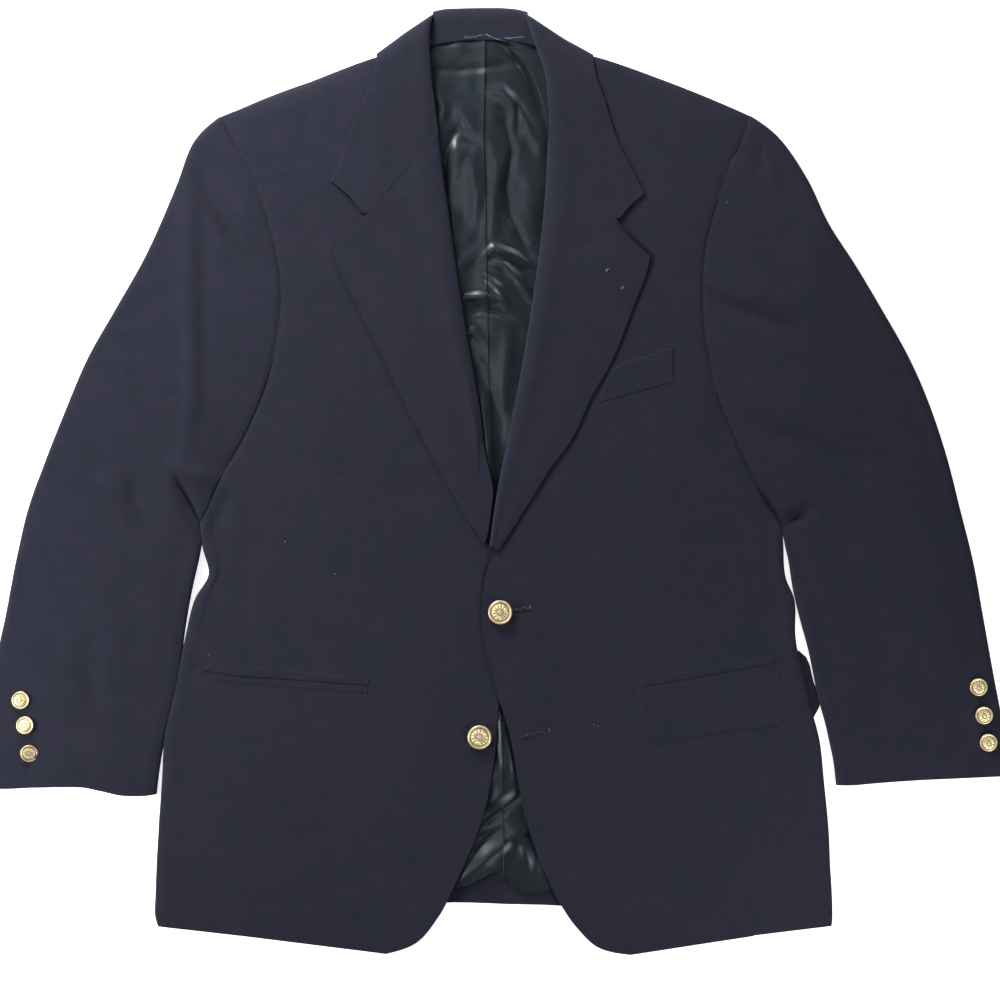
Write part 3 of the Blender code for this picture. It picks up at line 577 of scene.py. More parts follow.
def build_mottle_group():
    """A value round 0.5 that wanders over the garment."""
    group = bpy.data.node_groups.new("Worn mottling", "ShaderNodeTree")
    socket(group, "Place", "INPUT", "NodeSocketVector")
    socket(group, "Clouds per metre", "INPUT", value=9.0)
    socket(group, "Contrast", "INPUT", value=0.5)
    socket(group, "Mottle", "OUTPUT")
    start, end = group.nodes.new("NodeGroupInput"), group.nodes.new("NodeGroupOutput")
    parts = []
    for factor, detail in MOTTLE_LAYERS:
        scale = math_node(group, "MULTIPLY", start.outputs["Clouds per metre"], factor)
        noise = noise_node(group, start.outputs["Place"], scale, detail)
        parts.append(math_node(group, "SUBTRACT", noise, 0.5))
    both = math_node(group, "ADD", parts[0], math_node(group, "MULTIPLY", parts[1], FINE_SHARE))
    spread = math_node(group, "MULTIPLY", both, start.outputs["Contrast"])
    link(group, math_node(group, "ADD", spread, 0.5), end.inputs["Mottle"])
    return group


MOTTLE = build_mottle_group()
print("mottling group sockets", [item.name for item in MOTTLE.interface.items_tree])

# %% [markdown]
# The wool is a dark navy worsted with a faint violet cast. Short fibres stand up from it and catch
# the light at a grazing angle, which the shader's sheen gives. A few pale specks of lint cling to it.

# %% Navy wool
def place_group(tree, group, **values):
    node = tree.nodes.new("ShaderNodeGroup")
    node.node_tree = group
    for name, value in values.items():
        node.inputs[name.replace("_", " ")].default_value = value
    return node


def mix_colours(tree, factor, first, second, blend="MIX"):
    """A colour between two, or the other blend of them that is asked for."""
    node = tree.nodes.new("ShaderNodeMix")
    node.data_type = "RGBA"
    node.blend_type = blend
    feed(tree, factor, node.inputs["Factor"])
    for name, value in (("A", first), ("B", second)):
        feed(tree, value, [item for item in node.inputs if item.name == name and item.type == "RGBA"][0])
    return [item for item in node.outputs if item.type == "RGBA"][0]


def new_material(name, slot):
    material = bpy.data.materials.new(name)
    material.use_nodes = True
    material["slot"] = slot
    return material, material.node_tree, material.node_tree.nodes["Principled BSDF"]


def place_on_garment(tree):
    """The place of each point in metres."""
    return tree.nodes.new("ShaderNodeTexCoord").outputs["Object"]


def woven(tree, threads_per_mm, diagonal, unevenness):
    """The weave along the grain UVs, which are in millimetres."""
    grain = tree.nodes.new("ShaderNodeUVMap")
    grain.uv_map = "Grain"
    weave = place_group(tree, WEAVE, Threads_per_mm=threads_per_mm, Diagonal=diagonal, Unevenness=unevenness)
    link(tree, grain.outputs["UV"], weave.inputs["Grain"])
    return weave


def mottled(tree, clouds_per_metre, contrast):
    """The mottling at each place of the garment."""
    mottle = place_group(tree, MOTTLE, Clouds_per_metre=clouds_per_metre, Contrast=contrast)
    link(tree, place_on_garment(tree), mottle.inputs["Place"])
    return mottle.outputs["Mottle"]


def with_painted_shade(tree, attribute, colour, shade_colour):
    """A colour that goes over to a painted shade colour by an attribute of the mesh's points."""
    node = tree.nodes.new("ShaderNodeAttribute")
    node.attribute_name = attribute
    return mix_colours(tree, node.outputs["Fac"], colour, shade_colour)


def vary_roughness(tree, shader, source, reach, least):
    rough = math_node(tree, "ADD", math_node(tree, "MULTIPLY", source, reach), least)
    link(tree, rough, shader.inputs["Roughness"])


def bump(tree, height, shader, depth, strength=1.0):
    node = tree.nodes.new("ShaderNodeBump")
    node.inputs["Distance"].default_value = depth
    node.inputs["Strength"].default_value = strength
    link(tree, height, node.inputs["Height"])
    link(tree, node.outputs["Normal"], shader.inputs["Normal"])


TEAL_CAST = (0.72, 0.87, 0.90, 1)
VIOLET_CAST = (1.22, 1.06, 1.17, 1)
# Colour of the painted shade on the wool
WOOL_SHADOW = (0.0012, 0.0013, 0.0020, 1)
LINT_PER_METRE = 42.0
LINT_SIZE = 0.016
LINT_COVER = 0.35
LINT_COLOUR = (0.30, 0.30, 0.34, 1)


def wool_material(name, dark, light):
    material, tree, shader = new_material(name, "navy_wool")
    weave = woven(tree, threads_per_mm=1.9, diagonal=0.8, unevenness=0.9)
    # The weave's shade: painted shade in the valleys between threads, random fibre tone on their tops
    cloth_colour = mix_colours(tree, weave.outputs["Shade"], dark, light)
    cast = mix_colours(tree, mottled(tree, clouds_per_metre=62.0, contrast=2.0), TEAL_CAST, VIOLET_CAST)
    tinted = mix_colours(tree, 1.0, cloth_colour, cast, "MULTIPLY")
    # Painted shade along seams, deep creases and edges
    tinted = with_painted_shade(tree, "Painted shade", tinted, WOOL_SHADOW)
    lint = tree.nodes.new("ShaderNodeTexVoronoi")
    lint.inputs["Scale"].default_value = LINT_PER_METRE
    link(tree, place_on_garment(tree), lint.inputs["Vector"])
    speck = math_node(tree, "LESS_THAN", lint.outputs["Distance"], LINT_SIZE)
    colour = mix_colours(tree, math_node(tree, "MULTIPLY", speck, LINT_COVER), tinted, LINT_COLOUR)
    link(tree, colour, shader.inputs["Base Color"])
    vary_roughness(tree, shader, weave.outputs["Shade"], -0.12, 0.92)
    shader.inputs["Specular IOR Level"].default_value = 0.25
    shader.inputs["Sheen Weight"].default_value = 0.12
    shader.inputs["Sheen Roughness"].default_value = 0.45
    shader.inputs["Sheen Tint"].default_value = (0.62, 0.66, 0.85, 1)
    bump(tree, weave.outputs["Height"], shader, 0.00010)
    return material


NAVY_DARK = (0.0106, 0.0113, 0.0204, 1)
NAVY_LIGHT = (0.0226, 0.0238, 0.0416, 1)
NAVY = wool_material("Navy worsted", NAVY_DARK, NAVY_LIGHT)
print(NAVY.name, "nodes", len(NAVY.node_tree.nodes))

# %% [markdown]
# The lining is a teal-grey satin. Its threads float over each other, so it is smooth and shines
# along its folds. A roughness far below the wool's gives those bright streaks, and the mottling
# keeps the colour between them from being even.

# %% Teal satin
SATIN_DARK = (0.0050, 0.0078, 0.0108, 1)
SATIN_LIGHT = (0.0125, 0.0185, 0.0245, 1)
# Colour of the painted shade on the satin
SATIN_SHADOW = (0.0008, 0.0010, 0.0012, 1)


def satin_material():
    material, tree, shader = new_material("Teal satin", "satin_lining")
    weave = woven(tree, threads_per_mm=1.6, diagonal=0.1, unevenness=0.4)
    base = mix_colours(tree, mottled(tree, clouds_per_metre=16.0, contrast=1.2), SATIN_DARK, SATIN_LIGHT)
    # Painted shade in the deep folds, along the pleat and along the front lining's edge
    link(tree, with_painted_shade(tree, "Painted shade", base, SATIN_SHADOW), shader.inputs["Base Color"])
    vary_roughness(tree, shader, weave.outputs["Shade"], 0.08, 0.33)
    shader.inputs["Specular IOR Level"].default_value = 0.55
    shader.inputs["Specular Tint"].default_value = (0.78, 0.92, 1.0, 1)
    shader.inputs["Sheen Weight"].default_value = 0.1
    bump(tree, weave.outputs["Height"], shader, 0.00003, 0.6)
    return material


SATIN_TEAL = satin_material()
print(SATIN_TEAL.name, "nodes", len(SATIN_TEAL.node_tree.nodes))

# %% [markdown]
# The outlines below are the cut itself: each armhole from the shoulder point round to the underarm,
# the roll line opposite it, and the front edge with its rounded corner. These and the later tables
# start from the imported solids' own. Some of their places are moved, mostly by a few millimetres,
# where the photo's outline asks for it.

# %% Armholes, roll lines and fronts
ARMHOLE = {
    "right": [(-256, 334.6), (-245, 313), (-231, 286), (-219, 258), (-208, 223), (-201, 189),
              (-200, 157), (-205, 120), (-217, 79), (-237, 35), (-256, 3), (-273, -38)],
    "left": [(232, 335.6), (222, 307), (209, 284), (200, 252), (191, 218), (188, 186),
             (188, 154), (192, 118), (203, 74), (220, 34), (240, -10), (261, -42)],
}
SIDE_PANEL_STATION = 9
BACK_END_STATION = 8.6
# Roll line opposite each armhole place: x, y
ROLL = {
    "right": [(-64, 397), (-63, 381), (-60, 355), (-56, 327), (-52, 292),
              (-47, 258), (-42, 221), (-36, 180), (-28, 129), (-19, 79)],
    "left": [(35, 397), (40, 378), (45, 350), (46, 313), (44, 272),
             (40, 226), (34, 180), (27, 134), (18, 83), (9, 37)],
}
ROLL_CUT = 3.4
# Below the underarm: side seam x, y, front edge x, y, and how far the cut stops short of the edge
FRONT_LOWER = {
    "right": [(-234, -18, -10, 23, 4.6), (-233, -64, -1, -23, 4.0), (-232, -105, 13, -64, 0),
              (-232, -147, 20, -110, 0), (-232, -193, 17, -161, 0), (-233, -239, 1.6, -205, 0),
              (-234, -280, -3, -253, 0), (-235, -322, -11, -299, 0), (-236, -358, -23, -335, 0),
              (-236, -386, -41, -375, 0), (-237, -402, -55, -402, 0), (-237, -412, -76, -426, 0),
              (-237, -419.3, -104, -435.8, 0)],
    "left": [(225, -18, -1, -11, 4.4), (226, -64, -7, -55, 4.0), (227, -105, -12, -96, 0),
             (228, -147, -14, -142, 0), (229, -193, -4, -186, 0), (230, -239, 11, -234, 0),
             (231, -280, 19, -280, 0), (232, -322, 29, -322, 0), (233, -358, 42, -358, 0),
             (234, -386, 57, -389, 0), (235, -401, 73, -412, 0), (235, -411, 92, -429.6, 0),
             (235, -419.6, 123, -436.6, 0)],
}
FRONT_SHARES = (0, 0.06, 0.13, 0.20, 0.30, 0.42, 0.56, 0.70, 0.85, 1)
SHOULDER_STATIONS = ((0, 0), (0.12, 0.6), (0.35, 0.9))
FRONT_BOW = {"right": 4.0, "left": 7.5}
NECK_BOW = {"right": 62.0, "left": 50.0}
SEAM = 0.3


def mix(a, b, share):
    return a + (b - a) * share


def mix_rows(a, b, share):
    return tuple(mix(p, q, share) for p, q in zip(a, b))


def row_at(rows, station):
    """The row at a station such as 2.5, halfway between rows 2 and 3."""
    low = min(int(station), len(rows) - 2)
    return mix_rows(rows[low], rows[low + 1], station - low)


def inset(start, end, distance):
    """The place that lies a distance from start on the way to end."""
    return mix_rows(start, end, distance / math.dist(start, end))


def front_rows(side):
    upper = [hole + roll + (ROLL_CUT,) for hole, roll in zip(ARMHOLE[side], ROLL[side])]
    table = upper + FRONT_LOWER[side]
    stations = list(SHOULDER_STATIONS) + [(number, 1) for number in range(1, len(table))]
    rows = []
    for station, settled in stations:
        seam_x, seam_y, edge_x, edge_y, short = row_at(table, station)
        start = inset((edge_x, edge_y), (seam_x, seam_y), short)
        end = inset((seam_x, seam_y), (edge_x, edge_y), SEAM)
        bow, neck_bow = FRONT_BOW[side] * max(0.0, 1 - station), NECK_BOW[side] * max(0.0, 1 - station)
        row = []
        for share in FRONT_SHARES:
            x, y = mix_rows(start, end, share)
            y += bow * 4 * share * (1 - share) + neck_bow * share * (1 - share) ** 4
            low = SHOULDER_EDGE_HEIGHT + 2.0 * neck_lift(x, y)
            row.append((x, y, mix(low, front_height(side, x, y), settled)))
        rows.append(row)
    return rows


ARMHOLE_DIP = {"right": 1.0, "left": 0.5}


def dense_line(points):
    """A smooth line through points, with places so close that the nearest one is near enough."""
    return smooth_line(np.arange(len(points)), points, np.arange(0, len(points) - 0.995, 0.01))


for side in SIDES:
    side_seam = [ARMHOLE[side][SIDE_PANEL_STATION]] + [row[:2] for row in FRONT_LOWER[side]]
    SEAM_LINES[f"armhole_{side}"] = dense_line(ARMHOLE[side])
    SEAM_LINES[f"side_{side}"] = dense_line(side_seam)
    armhole = SEAM_LINES[f"armhole_{side}"][::25].tolist()
    SEAMS.append((("body", f"sleeve_{side}"), armhole, 2.6, ARMHOLE_DIP[side]))
    # Painted shade along each armhole seam
    PAINTED_SHADE_LINES.append((("body", f"sleeve_{side}"), armhole, 1.3, 0.75))

for side in SIDES:
    cloth(f"{side}_front_cloth", f"front_{side}", front_rows(side), WOOL, NAVY, ("body", "front"),
          spacing=2.8,
          sewn={"start": ((), 0.15), "end": ((f"armhole_{side}", f"side_{side}"), 0.4)})

# %% [markdown]
# The side panel runs from the front's seam to the edge of the lying blazer, turns over a soft fold
# and comes back underneath to the back's seam. One grid goes round the whole turn, because a fold
# in cloth has no seam at its edge. Below the vent's top it is free of the back.

# %% Side panels
SIDE_FOLD = {
    "right": [(-272.6, -42), (-271.5, -62), (-266, -87), (-279, -110), (-287.6, -145), (-296.8, -189),
              (-306.4, -234), (-309, -276), (-312, -320), (-314, -356), (-315, -384),
              (-315.5, -397), (-314.6, -404), (-312.4, -410.6)],
    "left": [(260.5, -44), (262.0, -62), (264.5, -90), (272.6, -110), (273.5, -144), (283, -193),
             (295.5, -239), (300, -280), (304, -322), (305.5, -356), (307, -381),
             (307.4, -393), (307.4, -404), (306.6, -410.6)],
}
VENT_ROW = 4
SIDE_SEAM_UNDER = 11.0
FOLD_DEGREES = (90, 60, 30, 0, -30, -60, -90)
UNDERARM_GAP = 0.6


def side_panel_rows(side):
    rows = []
    seams = [ARMHOLE[side][SIDE_PANEL_STATION]] + [row[:2] for row in FRONT_LOWER[side]]
    for number, (seam, fold) in enumerate(zip(seams, SIDE_FOLD[side])):
        under = UNDER_HEIGHT + (VENT_LIFT if number >= VENT_ROW else 0)
        radius = (TOP_HEIGHT - under) / 2
        beside = ARMHOLE[side][SIDE_PANEL_STATION + 1] if number == 0 else seam
        turn = inset(fold, beside, radius + WOOL / 2 - FOLD_GROW)
        start = inset(seam, fold, SEAM)
        row = []
        for share in (0, 0.25, 0.5, 0.75):
            x, y = mix_rows(start, turn, share)
            if number == 0 and share > 0:
                x, y = row_at(ARMHOLE[side], SIDE_PANEL_STATION + 2 * share)
                y -= UNDERARM_GAP
            row.append((x, y, body_height(x, y)))
        out = inset(turn, fold, radius)
        for degrees in FOLD_DEGREES:
            x, y = mix_rows(turn, out, math.cos(math.radians(degrees)))
            row.append((x, y, under + radius + radius * math.sin(math.radians(degrees))))
        below = inset(seam, fold, -SIDE_SEAM_UNDER)
        for share in (0.5, 1):
            x, y = mix_rows(turn, below, share)
            if number == 0:
                x, y = row_at(ARMHOLE[side], mix(SIDE_PANEL_STATION + 2, BACK_END_STATION, share))
                y -= UNDERARM_GAP
            row.append((x, y, under))
        rows.append(row)
    return rows


for side in SIDES:
    cloth(f"{side}_side_cloth", f"side_panel_{side}", side_panel_rows(side), WOOL, NAVY, ("body",),
          sewn={"start": ((f"side_{side}",), 0.1), "top": ((f"armhole_{side}",), 0.4)})

# %% [markdown]
# The back lies flat on the table under everything else. It shows only from below, in the hem
# opening and at the vent, so a coarser grid of the same cloth is enough.

# %% Back and its turned-up hem
CENTRE_UPPER = [(-13, 399), (-13, 372), (-13, 330), (-12, 290), (-12, 250), (-12, 210),
                (-11, 165), (-10, 120), (-9, 75)]
BACK_LOWER = {
    "right": [(-222.5, -18, -8, -20), (-221.5, -64, -6, -66), (-220.5, -105, -4, -105),
              (-220.5, -142, -2, -140), (-221, -150, -1, -152), (-276, -165, 0, -166),
              (-283, -202, 1, -202), (-292, -243, 2, -243), (-297, -280, 3, -280),
              (-300, -322, 3, -322), (-302, -358, 4, -356), (-302, -397, 5, -391)],
    "left": [(213.5, -18, -8, -20), (214.5, -64, -6, -66), (215.5, -105, -4, -105),
             (216.5, -142, -2, -140), (217, -150, -1, -152), (278, -157, 0, -166),
             (291.6, -186, 1, -202), (297.5, -205, 2, -243), (290, -223, 3, -280),
             (287, -280, 3, -322), (290, -345, 4, -356), (292, -397, 5, -391)],
}
BACK_BOW = {"right": 12.5, "left": 14.0}
BACK_SHARES = (0, 0.2, 0.4, 0.6, 0.8, 1)
CENTRE_LAP = 0.4
# Middle, half width and height of the place where the back's hem rides up
HEM_RISE = (-45.0, 26.0, 3.2)


def back_rows(side):
    out = SIDES[side]
    upper = [hole + centre for hole, centre in zip(ARMHOLE[side], CENTRE_UPPER)]
    last = row_at(ARMHOLE[side], BACK_END_STATION) + (-8.5, 50)
    rows = []
    for number, (edge_x, edge_y, centre_x, centre_y) in enumerate(upper + [last] + BACK_LOWER[side]):
        start = inset((edge_x, edge_y), (centre_x, centre_y), SEAM)
        bow = BACK_BOW[side] * max(0.0, 1 - number / 2)
        row = []
        for share in BACK_SHARES:
            x, y = mix_rows(start, (centre_x - out * CENTRE_LAP, centre_y), share)
            y += bow * 4 * share * (1 - share)
            if edge_y == BACK_LOWER[side][-1][1]:
                y += HEM_RISE[2] * math.exp(-(((x - HEM_RISE[0]) / HEM_RISE[1]) ** 2))
            row.append((x, y, BACK_HEIGHT + neck_lift(x, y)))
        rows.append(row)
    return rows


for side in SIDES:
    cloth(f"{side}_back_cloth", f"back_{side}", back_rows(side), WOOL_BACK, NAVY, ("flat",),
          spacing=9, sewn={"start": ((f"armhole_{side}",), 0.3)})

HEM_TURN_UP = [(-78, -391), (-40, -388.8), (2, -389.8), (40, -391), (80, -393)]
turn_up = [[(x, mix(y, -350.0, share), 2.5) for x, y in HEM_TURN_UP] for share in (0, 0.5, 1)]
cloth("hem_turn_up_cloth", "back_hem_turn_up", turn_up, WOOL_TRIM, NAVY, ("flat",))

# %% [markdown]
# A sleeve is a flattened tube in two pieces. The top sleeve wraps over both folded edges, and the
# under sleeve closes the tube below. One closed tube would be simpler, but its seams would be missing.
# Near the armhole its rows follow the armhole's curve, and they straighten out towards the cuff, as
# the grain does in a set-in sleeve.

# %% Sleeves
SLEEVE = {
    "right": [(-256, 334.6, -274, -38, 1.0), (-279, 313, -274, -43, 0.6), (-296, 270.5, -274, -49, 0.38),
              (-324, 207, -274, -58, 0.22), (-351.7, 158, -276, -72, 0.12), (-376.2, 115, -281, -94, 0.05),
              (-399.8, 60, -286, -120, 0), (-418.3, 13, -290, -147, 0), (-431.3, -23, -292, -168, 0),
              (-443.3, -73, -296.2, -192, 0), (-453, -124, -301.5, -214, 0), (-462.5, -170, -306.7, -235, 0),
              (-466.5, -216, -310.5, -255, 0), (-468.5, -253, -313, -272, 0), (-469, -282, -315, -286, 0)],
    "left": [(232, 335.6, 261, -42, 1.0), (257.5, 316.5, 263.6, -47, 0.6), (284.5, 277.5, 264.6, -53, 0.38),
             (303.5, 237.5, 265.8, -61, 0.22), (327, 201, 268.8, -76, 0.12), (353.3, 157, 272.4, -100, 0.05),
             (378, 113, 278.4, -126, 0), (396, 72, 286, -154, 0), (412.5, 23, 290, -173, 0),
             (424.8, -25, 293.6, -191, 0), (437.2, -75, 297.6, -208, 0), (446.5, -126, 302, -224, 0),
             (456, -179, 306, -242, 0), (465, -227, 309.5, -259, 0), (471, -271, 312, -277, 0)],
}
SLEEVE_SEAM_IN = 22.0
SLEEVE_CROWN = 2.2
ARMHOLE_SEAM = 0.6
# The crown's share at the first row, and the rows over which it grows to the whole
CROWN_START = 0.35
CROWN_ROWS = 4
LEAST_SHARE = 0.01
# Share of the way from the outer fold, how far the cuff's edge hangs below the straight line
CUFF_DIP = {
    "right": [(0, 2.8), (0.14, 1.8), (0.25, 0.3), (0.4, -0.9), (0.54, -1.8), (0.64, 0.0), (0.72, 3.7),
              (0.79, 5.4), (0.93, 5.4), (1, 3.2)],
    "left": [(0, 1.8), (0.5, 2.0), (0.65, 2.6), (0.79, 3.6), (0.9, 4.6), (1, 4.0)],
}


def armhole_shares(side):
    """How far along the straight line between its ends each place of an armhole lies."""
    first, last = Vector(ARMHOLE[side][0]), Vector(ARMHOLE[side][-1])
    chord = last - first
    return [(Vector(place) - first).dot(chord) / chord.length_squared for place in ARMHOLE[side]]


def armhole_bulge(side, share):
    """How far an armhole lies from the straight line between its ends."""
    first, last = Vector(ARMHOLE[side][0]), Vector(ARMHOLE[side][-1])
    shares = armhole_shares(side)
    bulges = [tuple(Vector(place) - first.lerp(last, at)) for place, at in zip(ARMHOLE[side], shares)]
    return smooth_line(shares, bulges, np.array([min(1.0, max(0.0, share))]))[0]


def sleeve_point(side, row, share, first_row):
    outer_x, outer_y, inner_x, inner_y, bulge = row
    x, y = mix_rows((outer_x, outer_y), (inner_x, inner_y), share)
    if bulge:
        shift = armhole_bulge(side, share) * bulge
        x, y = x + shift[0], y + shift[1]
    if first_row:
        x += SIDES[side] * ARMHOLE_SEAM
    if row == SLEEVE[side][-1]:
        y -= np.interp(share, *zip(*CUFF_DIP[side]))
    return float(x), float(y)


def sleeve_rows(side):
    """Rows of the top sleeve round both folds, and of the under sleeve between its seams."""
    stations = armhole_shares(side)[1:-1]
    radius = (TOP_HEIGHT - UNDER_HEIGHT) / 2
    top_rows, under_rows = [], []
    for number, row in enumerate(SLEEVE[side]):
        width = math.dist(row[:2], row[2:4])
        first = number == 0

        def across(distance):
            return sleeve_point(side, row, distance / width, first)

        def fold(distance, degrees, way):
            angle = math.radians(degrees)
            height = UNDER_HEIGHT + radius * (1 + math.sin(angle))
            return across(distance - way * radius * math.cos(angle)) + (height,)

        turn = radius + WOOL / 2 - FOLD_GROW
        top = [across(SLEEVE_SEAM_IN) + (UNDER_HEIGHT,)]
        top += [fold(turn, degrees, 1) for degrees in reversed(FOLD_DEGREES)]
        for share in stations:
            crown = SLEEVE_CROWN * math.sin(math.pi * share) * min(1.0, CROWN_START + number / CROWN_ROWS)
            top.append(sleeve_point(side, row, share, first) + (TOP_HEIGHT + crown,))
        top += [fold(width - turn, degrees, -1) for degrees in FOLD_DEGREES]
        top.append(across(width - SLEEVE_SEAM_IN) + (UNDER_HEIGHT,))
        top_rows.append(top)
        low, high = (SLEEVE_SEAM_IN + SEAM) / width, 1 - (SLEEVE_SEAM_IN + SEAM) / width
        shares = [low]
        for place, share in enumerate(stations, 1):
            left = len(stations) + 1 - place
            shares.append(min(max(share, low + LEAST_SHARE * place), high - LEAST_SHARE * left))
        shares.append(high)
        under_rows.append([sleeve_point(side, row, share, first) + (UNDER_HEIGHT,) for share in shares])
    return top_rows, under_rows


for side in SIDES:
    top_rows, under_rows = sleeve_rows(side)
    cloth(f"{side}_top_sleeve_cloth", f"top_sleeve_{side}", top_rows, WOOL, NAVY, (f"sleeve_{side}",),
          sewn={"top": ((f"armhole_{side}",), 0.7)})
    cloth(f"{side}_under_sleeve_cloth", f"under_sleeve_{side}", under_rows, WOOL, NAVY, ("flat",),
          spacing=9, sewn={"top": ((f"armhole_{side}",), 0.4)})

# %% [markdown]
# A lapel is the front's own top edge turned over along the roll line. It isn't pressed flat there:
# the cloth stands up in a soft roll and comes down towards its outer edge. The grid starts under the
# roll, goes round it and out to the edge, where the tip and the notch are its corners.

# %% Lapels
LAPEL = {
    "right": [(319, -152, 209), (290, -144, 190), (258, -131, 162), (221, -113, 126), (184, -95, 88),
              (143, -76, 50), (97, -56, 13), (56, -39, -17)],
    "left": [(312, 140, 205), (281, 136, 188), (244, 125, 161), (207, 112, 126), (166, 100, 100),
             (125, 86, 76), (83, 69, 39), (40, 48, 10), (2, 32, -15), (-32, 15, -42), (-61, 0, -65)],
}
LAPEL_TAIL = [(-11.5, 24, -26, -39), (-4.5, -12, -21, -46), (-6.5, -30, -17.5, -52), (-9.5, -50, -13, -60)]
LAPEL_SHARES = (0.12, 0.28, 0.46, 0.66, 0.84, 1)
ROLL_DEGREES = (-90, -45, 0, 45, 90)
# How high the roll stands, over which share of the lapel, and from which lapel width on in full
ROLL_STAND = 1.5
ROLL_REACH = 0.16
ROLL_FULL_WIDTH = 80
# How far the outer edge is pressed down, and from which share of the lapel on
EDGE_PRESS = 1.0
PRESS_FROM = 0.7
TAIL_SHARES = (0, 0.06, 0.12, 0.18, 0.24, 0.36, 0.48, 0.6, 0.74, 0.87, 1)


def roll_x(side, y):
    """X of the roll line at a height up the front."""
    line = ROLL[side] + [row[2:4] for row in FRONT_LOWER[side][:4]]
    heights = [-place[1] for place in line]
    return float(smooth_line(heights, [[place[0]] for place in line], np.array([-y]))[0, 0])


def lapel_rows(side):
    radius = LAPEL_LIFT / 2
    reach = radius + WOOL_LAPEL / 2
    rows = []
    for number, (roll_y, edge_x, edge_y) in enumerate(LAPEL[side]):
        roll, edge = Vector((roll_x(side, roll_y), roll_y)), Vector((edge_x, edge_y))
        across = Vector((1, (roll_x(side, roll_y - 5) - roll_x(side, roll_y + 5)) / 10)) * SIDES[side]
        if number == 0:
            across = edge - roll
        across.normalize()
        row = []
        for degrees in ROLL_DEGREES:
            angle = math.radians(degrees)
            x, y = roll + across * (reach - radius * math.cos(angle))
            row.append((x, y, front_height(side, x, y) + radius * (1 + math.sin(angle))))
        for share in LAPEL_SHARES:
            x, y = (roll + across * reach).lerp(edge, share)
            stand = ROLL_STAND * math.exp(-(((share - LAPEL_SHARES[0]) / ROLL_REACH) ** 2))
            stand *= min(1.0, (roll - edge).length / ROLL_FULL_WIDTH)
            pressed = EDGE_PRESS * ramp(PRESS_FROM, 1, share)
            row.append((x, y, front_height(side, x, y) + LAPEL_LIFT + stand - pressed))
        rows.append(row)
    if side == "right":
        for x0, y0, x1, y1 in LAPEL_TAIL:
            places = [mix_rows((x0, y0), (x1, y1), share) for share in TAIL_SHARES]
            rows.append([(x, y, front_height(side, x, y) + LAPEL_LIFT) for x, y in places])
    return rows


for side in SIDES:
    cloth(f"{side}_lapel_cloth", f"lapel_{side}", lapel_rows(side), WOOL_LAPEL, NAVY, ("body",),
          spacing=3, sewn={"top": ((), 0.12)})

# %% [markdown]
# The collar has two leaves that lie on the shoulders and turn under at the top, and a part behind the neck
# whose inside stands up as the collar's stand. The gorge seam and the notch come from the gap between each
# leaf and its lapel, so they hold real shade, and painted shade along them makes them darker still.

# %% Collar
NOTCH_SHARE = 0.66
GORGE_GAPS = (-0.2, -0.1)
COLLAR_CORNER = {"right": (-154, 276), "left": (135, 264)}
COLLAR = {
    "right": [(-57, 338, -112, 284, -148, 288, 0), (-59, 354, -104, 313, -143, 304, 0),
              (-61, 368, -98, 336, -136, 322, 0), (-62, 383, -94, 356, -128, 341, 0),
              (-63, 396, -90, 372, -121, 357, 0), (-63, 408, -87, 388, -115, 372, 0),
              (-62, 419, -85.5, 402.5, -112, 385, 0.7), (-59, 428.5, -84, 412, -112, 391.5, 4.0)],
    "left": [(47, 332, 99, 275, 129, 276, 0), (46, 348, 90, 309, 121, 291, 0),
             (45, 363, 83, 334, 112, 308, 0), (42, 380, 76, 355, 104, 330, 0),
             (36, 396, 71, 371, 98, 351, 0), (32, 407, 66, 385, 91, 370, 0),
             (28.5, 417, 62, 397, 88.5, 384, 0.7), (25, 429, 60, 406, 87.5, 391, 4.0)],
}
COLLAR_UNDER = {
    "right": [(-57, 427, -82, 409, -110.5, 389, 1.9), (-57, 426, -78, 404, -105, 384, 1.0),
              (-56, 423.5, -68, 398, -86, 376, 1.0), (-56, 421.5, -62.5, 398, -68, 375, 1.0)],
    "left": [(22, 427.5, 58, 402.5, 86, 388.5, 1.9), (22, 426.5, 54, 397, 80, 383.5, 1.0),
             (21, 424.5, 45, 394, 62, 377, 1.0), (20, 422.5, 32, 396, 42, 374, 1.0)],
}
COLLAR_BACK = [(-66, 398, -60, 432, -66, 375.5), (-52, 402, -50, 434.2, -50, 377),
               (-34, 404.5, -34, 435, -34, 380), (-12, 405, -14, 435.4, -12, 382),
               (8, 404.5, 6, 435.2, 8, 380), (26, 402, 18, 434, 26, 376), (40, 397, 28, 431.4, 40, 374.5)]
# Share of the way to a leaf's middle, and how far the cloth stands up there
LEAF_SHARES = (0, 0.12, 0.3, 0.55, 0.8)
LEAF_STANDS = (-0.9, 0.7, 1.0, 0.4, 0.1)
STAND_SEAM_HEIGHT = 7.1
STAND_HEIGHT = 8.2
COLLAR_UNDER_HEIGHT = 1.0


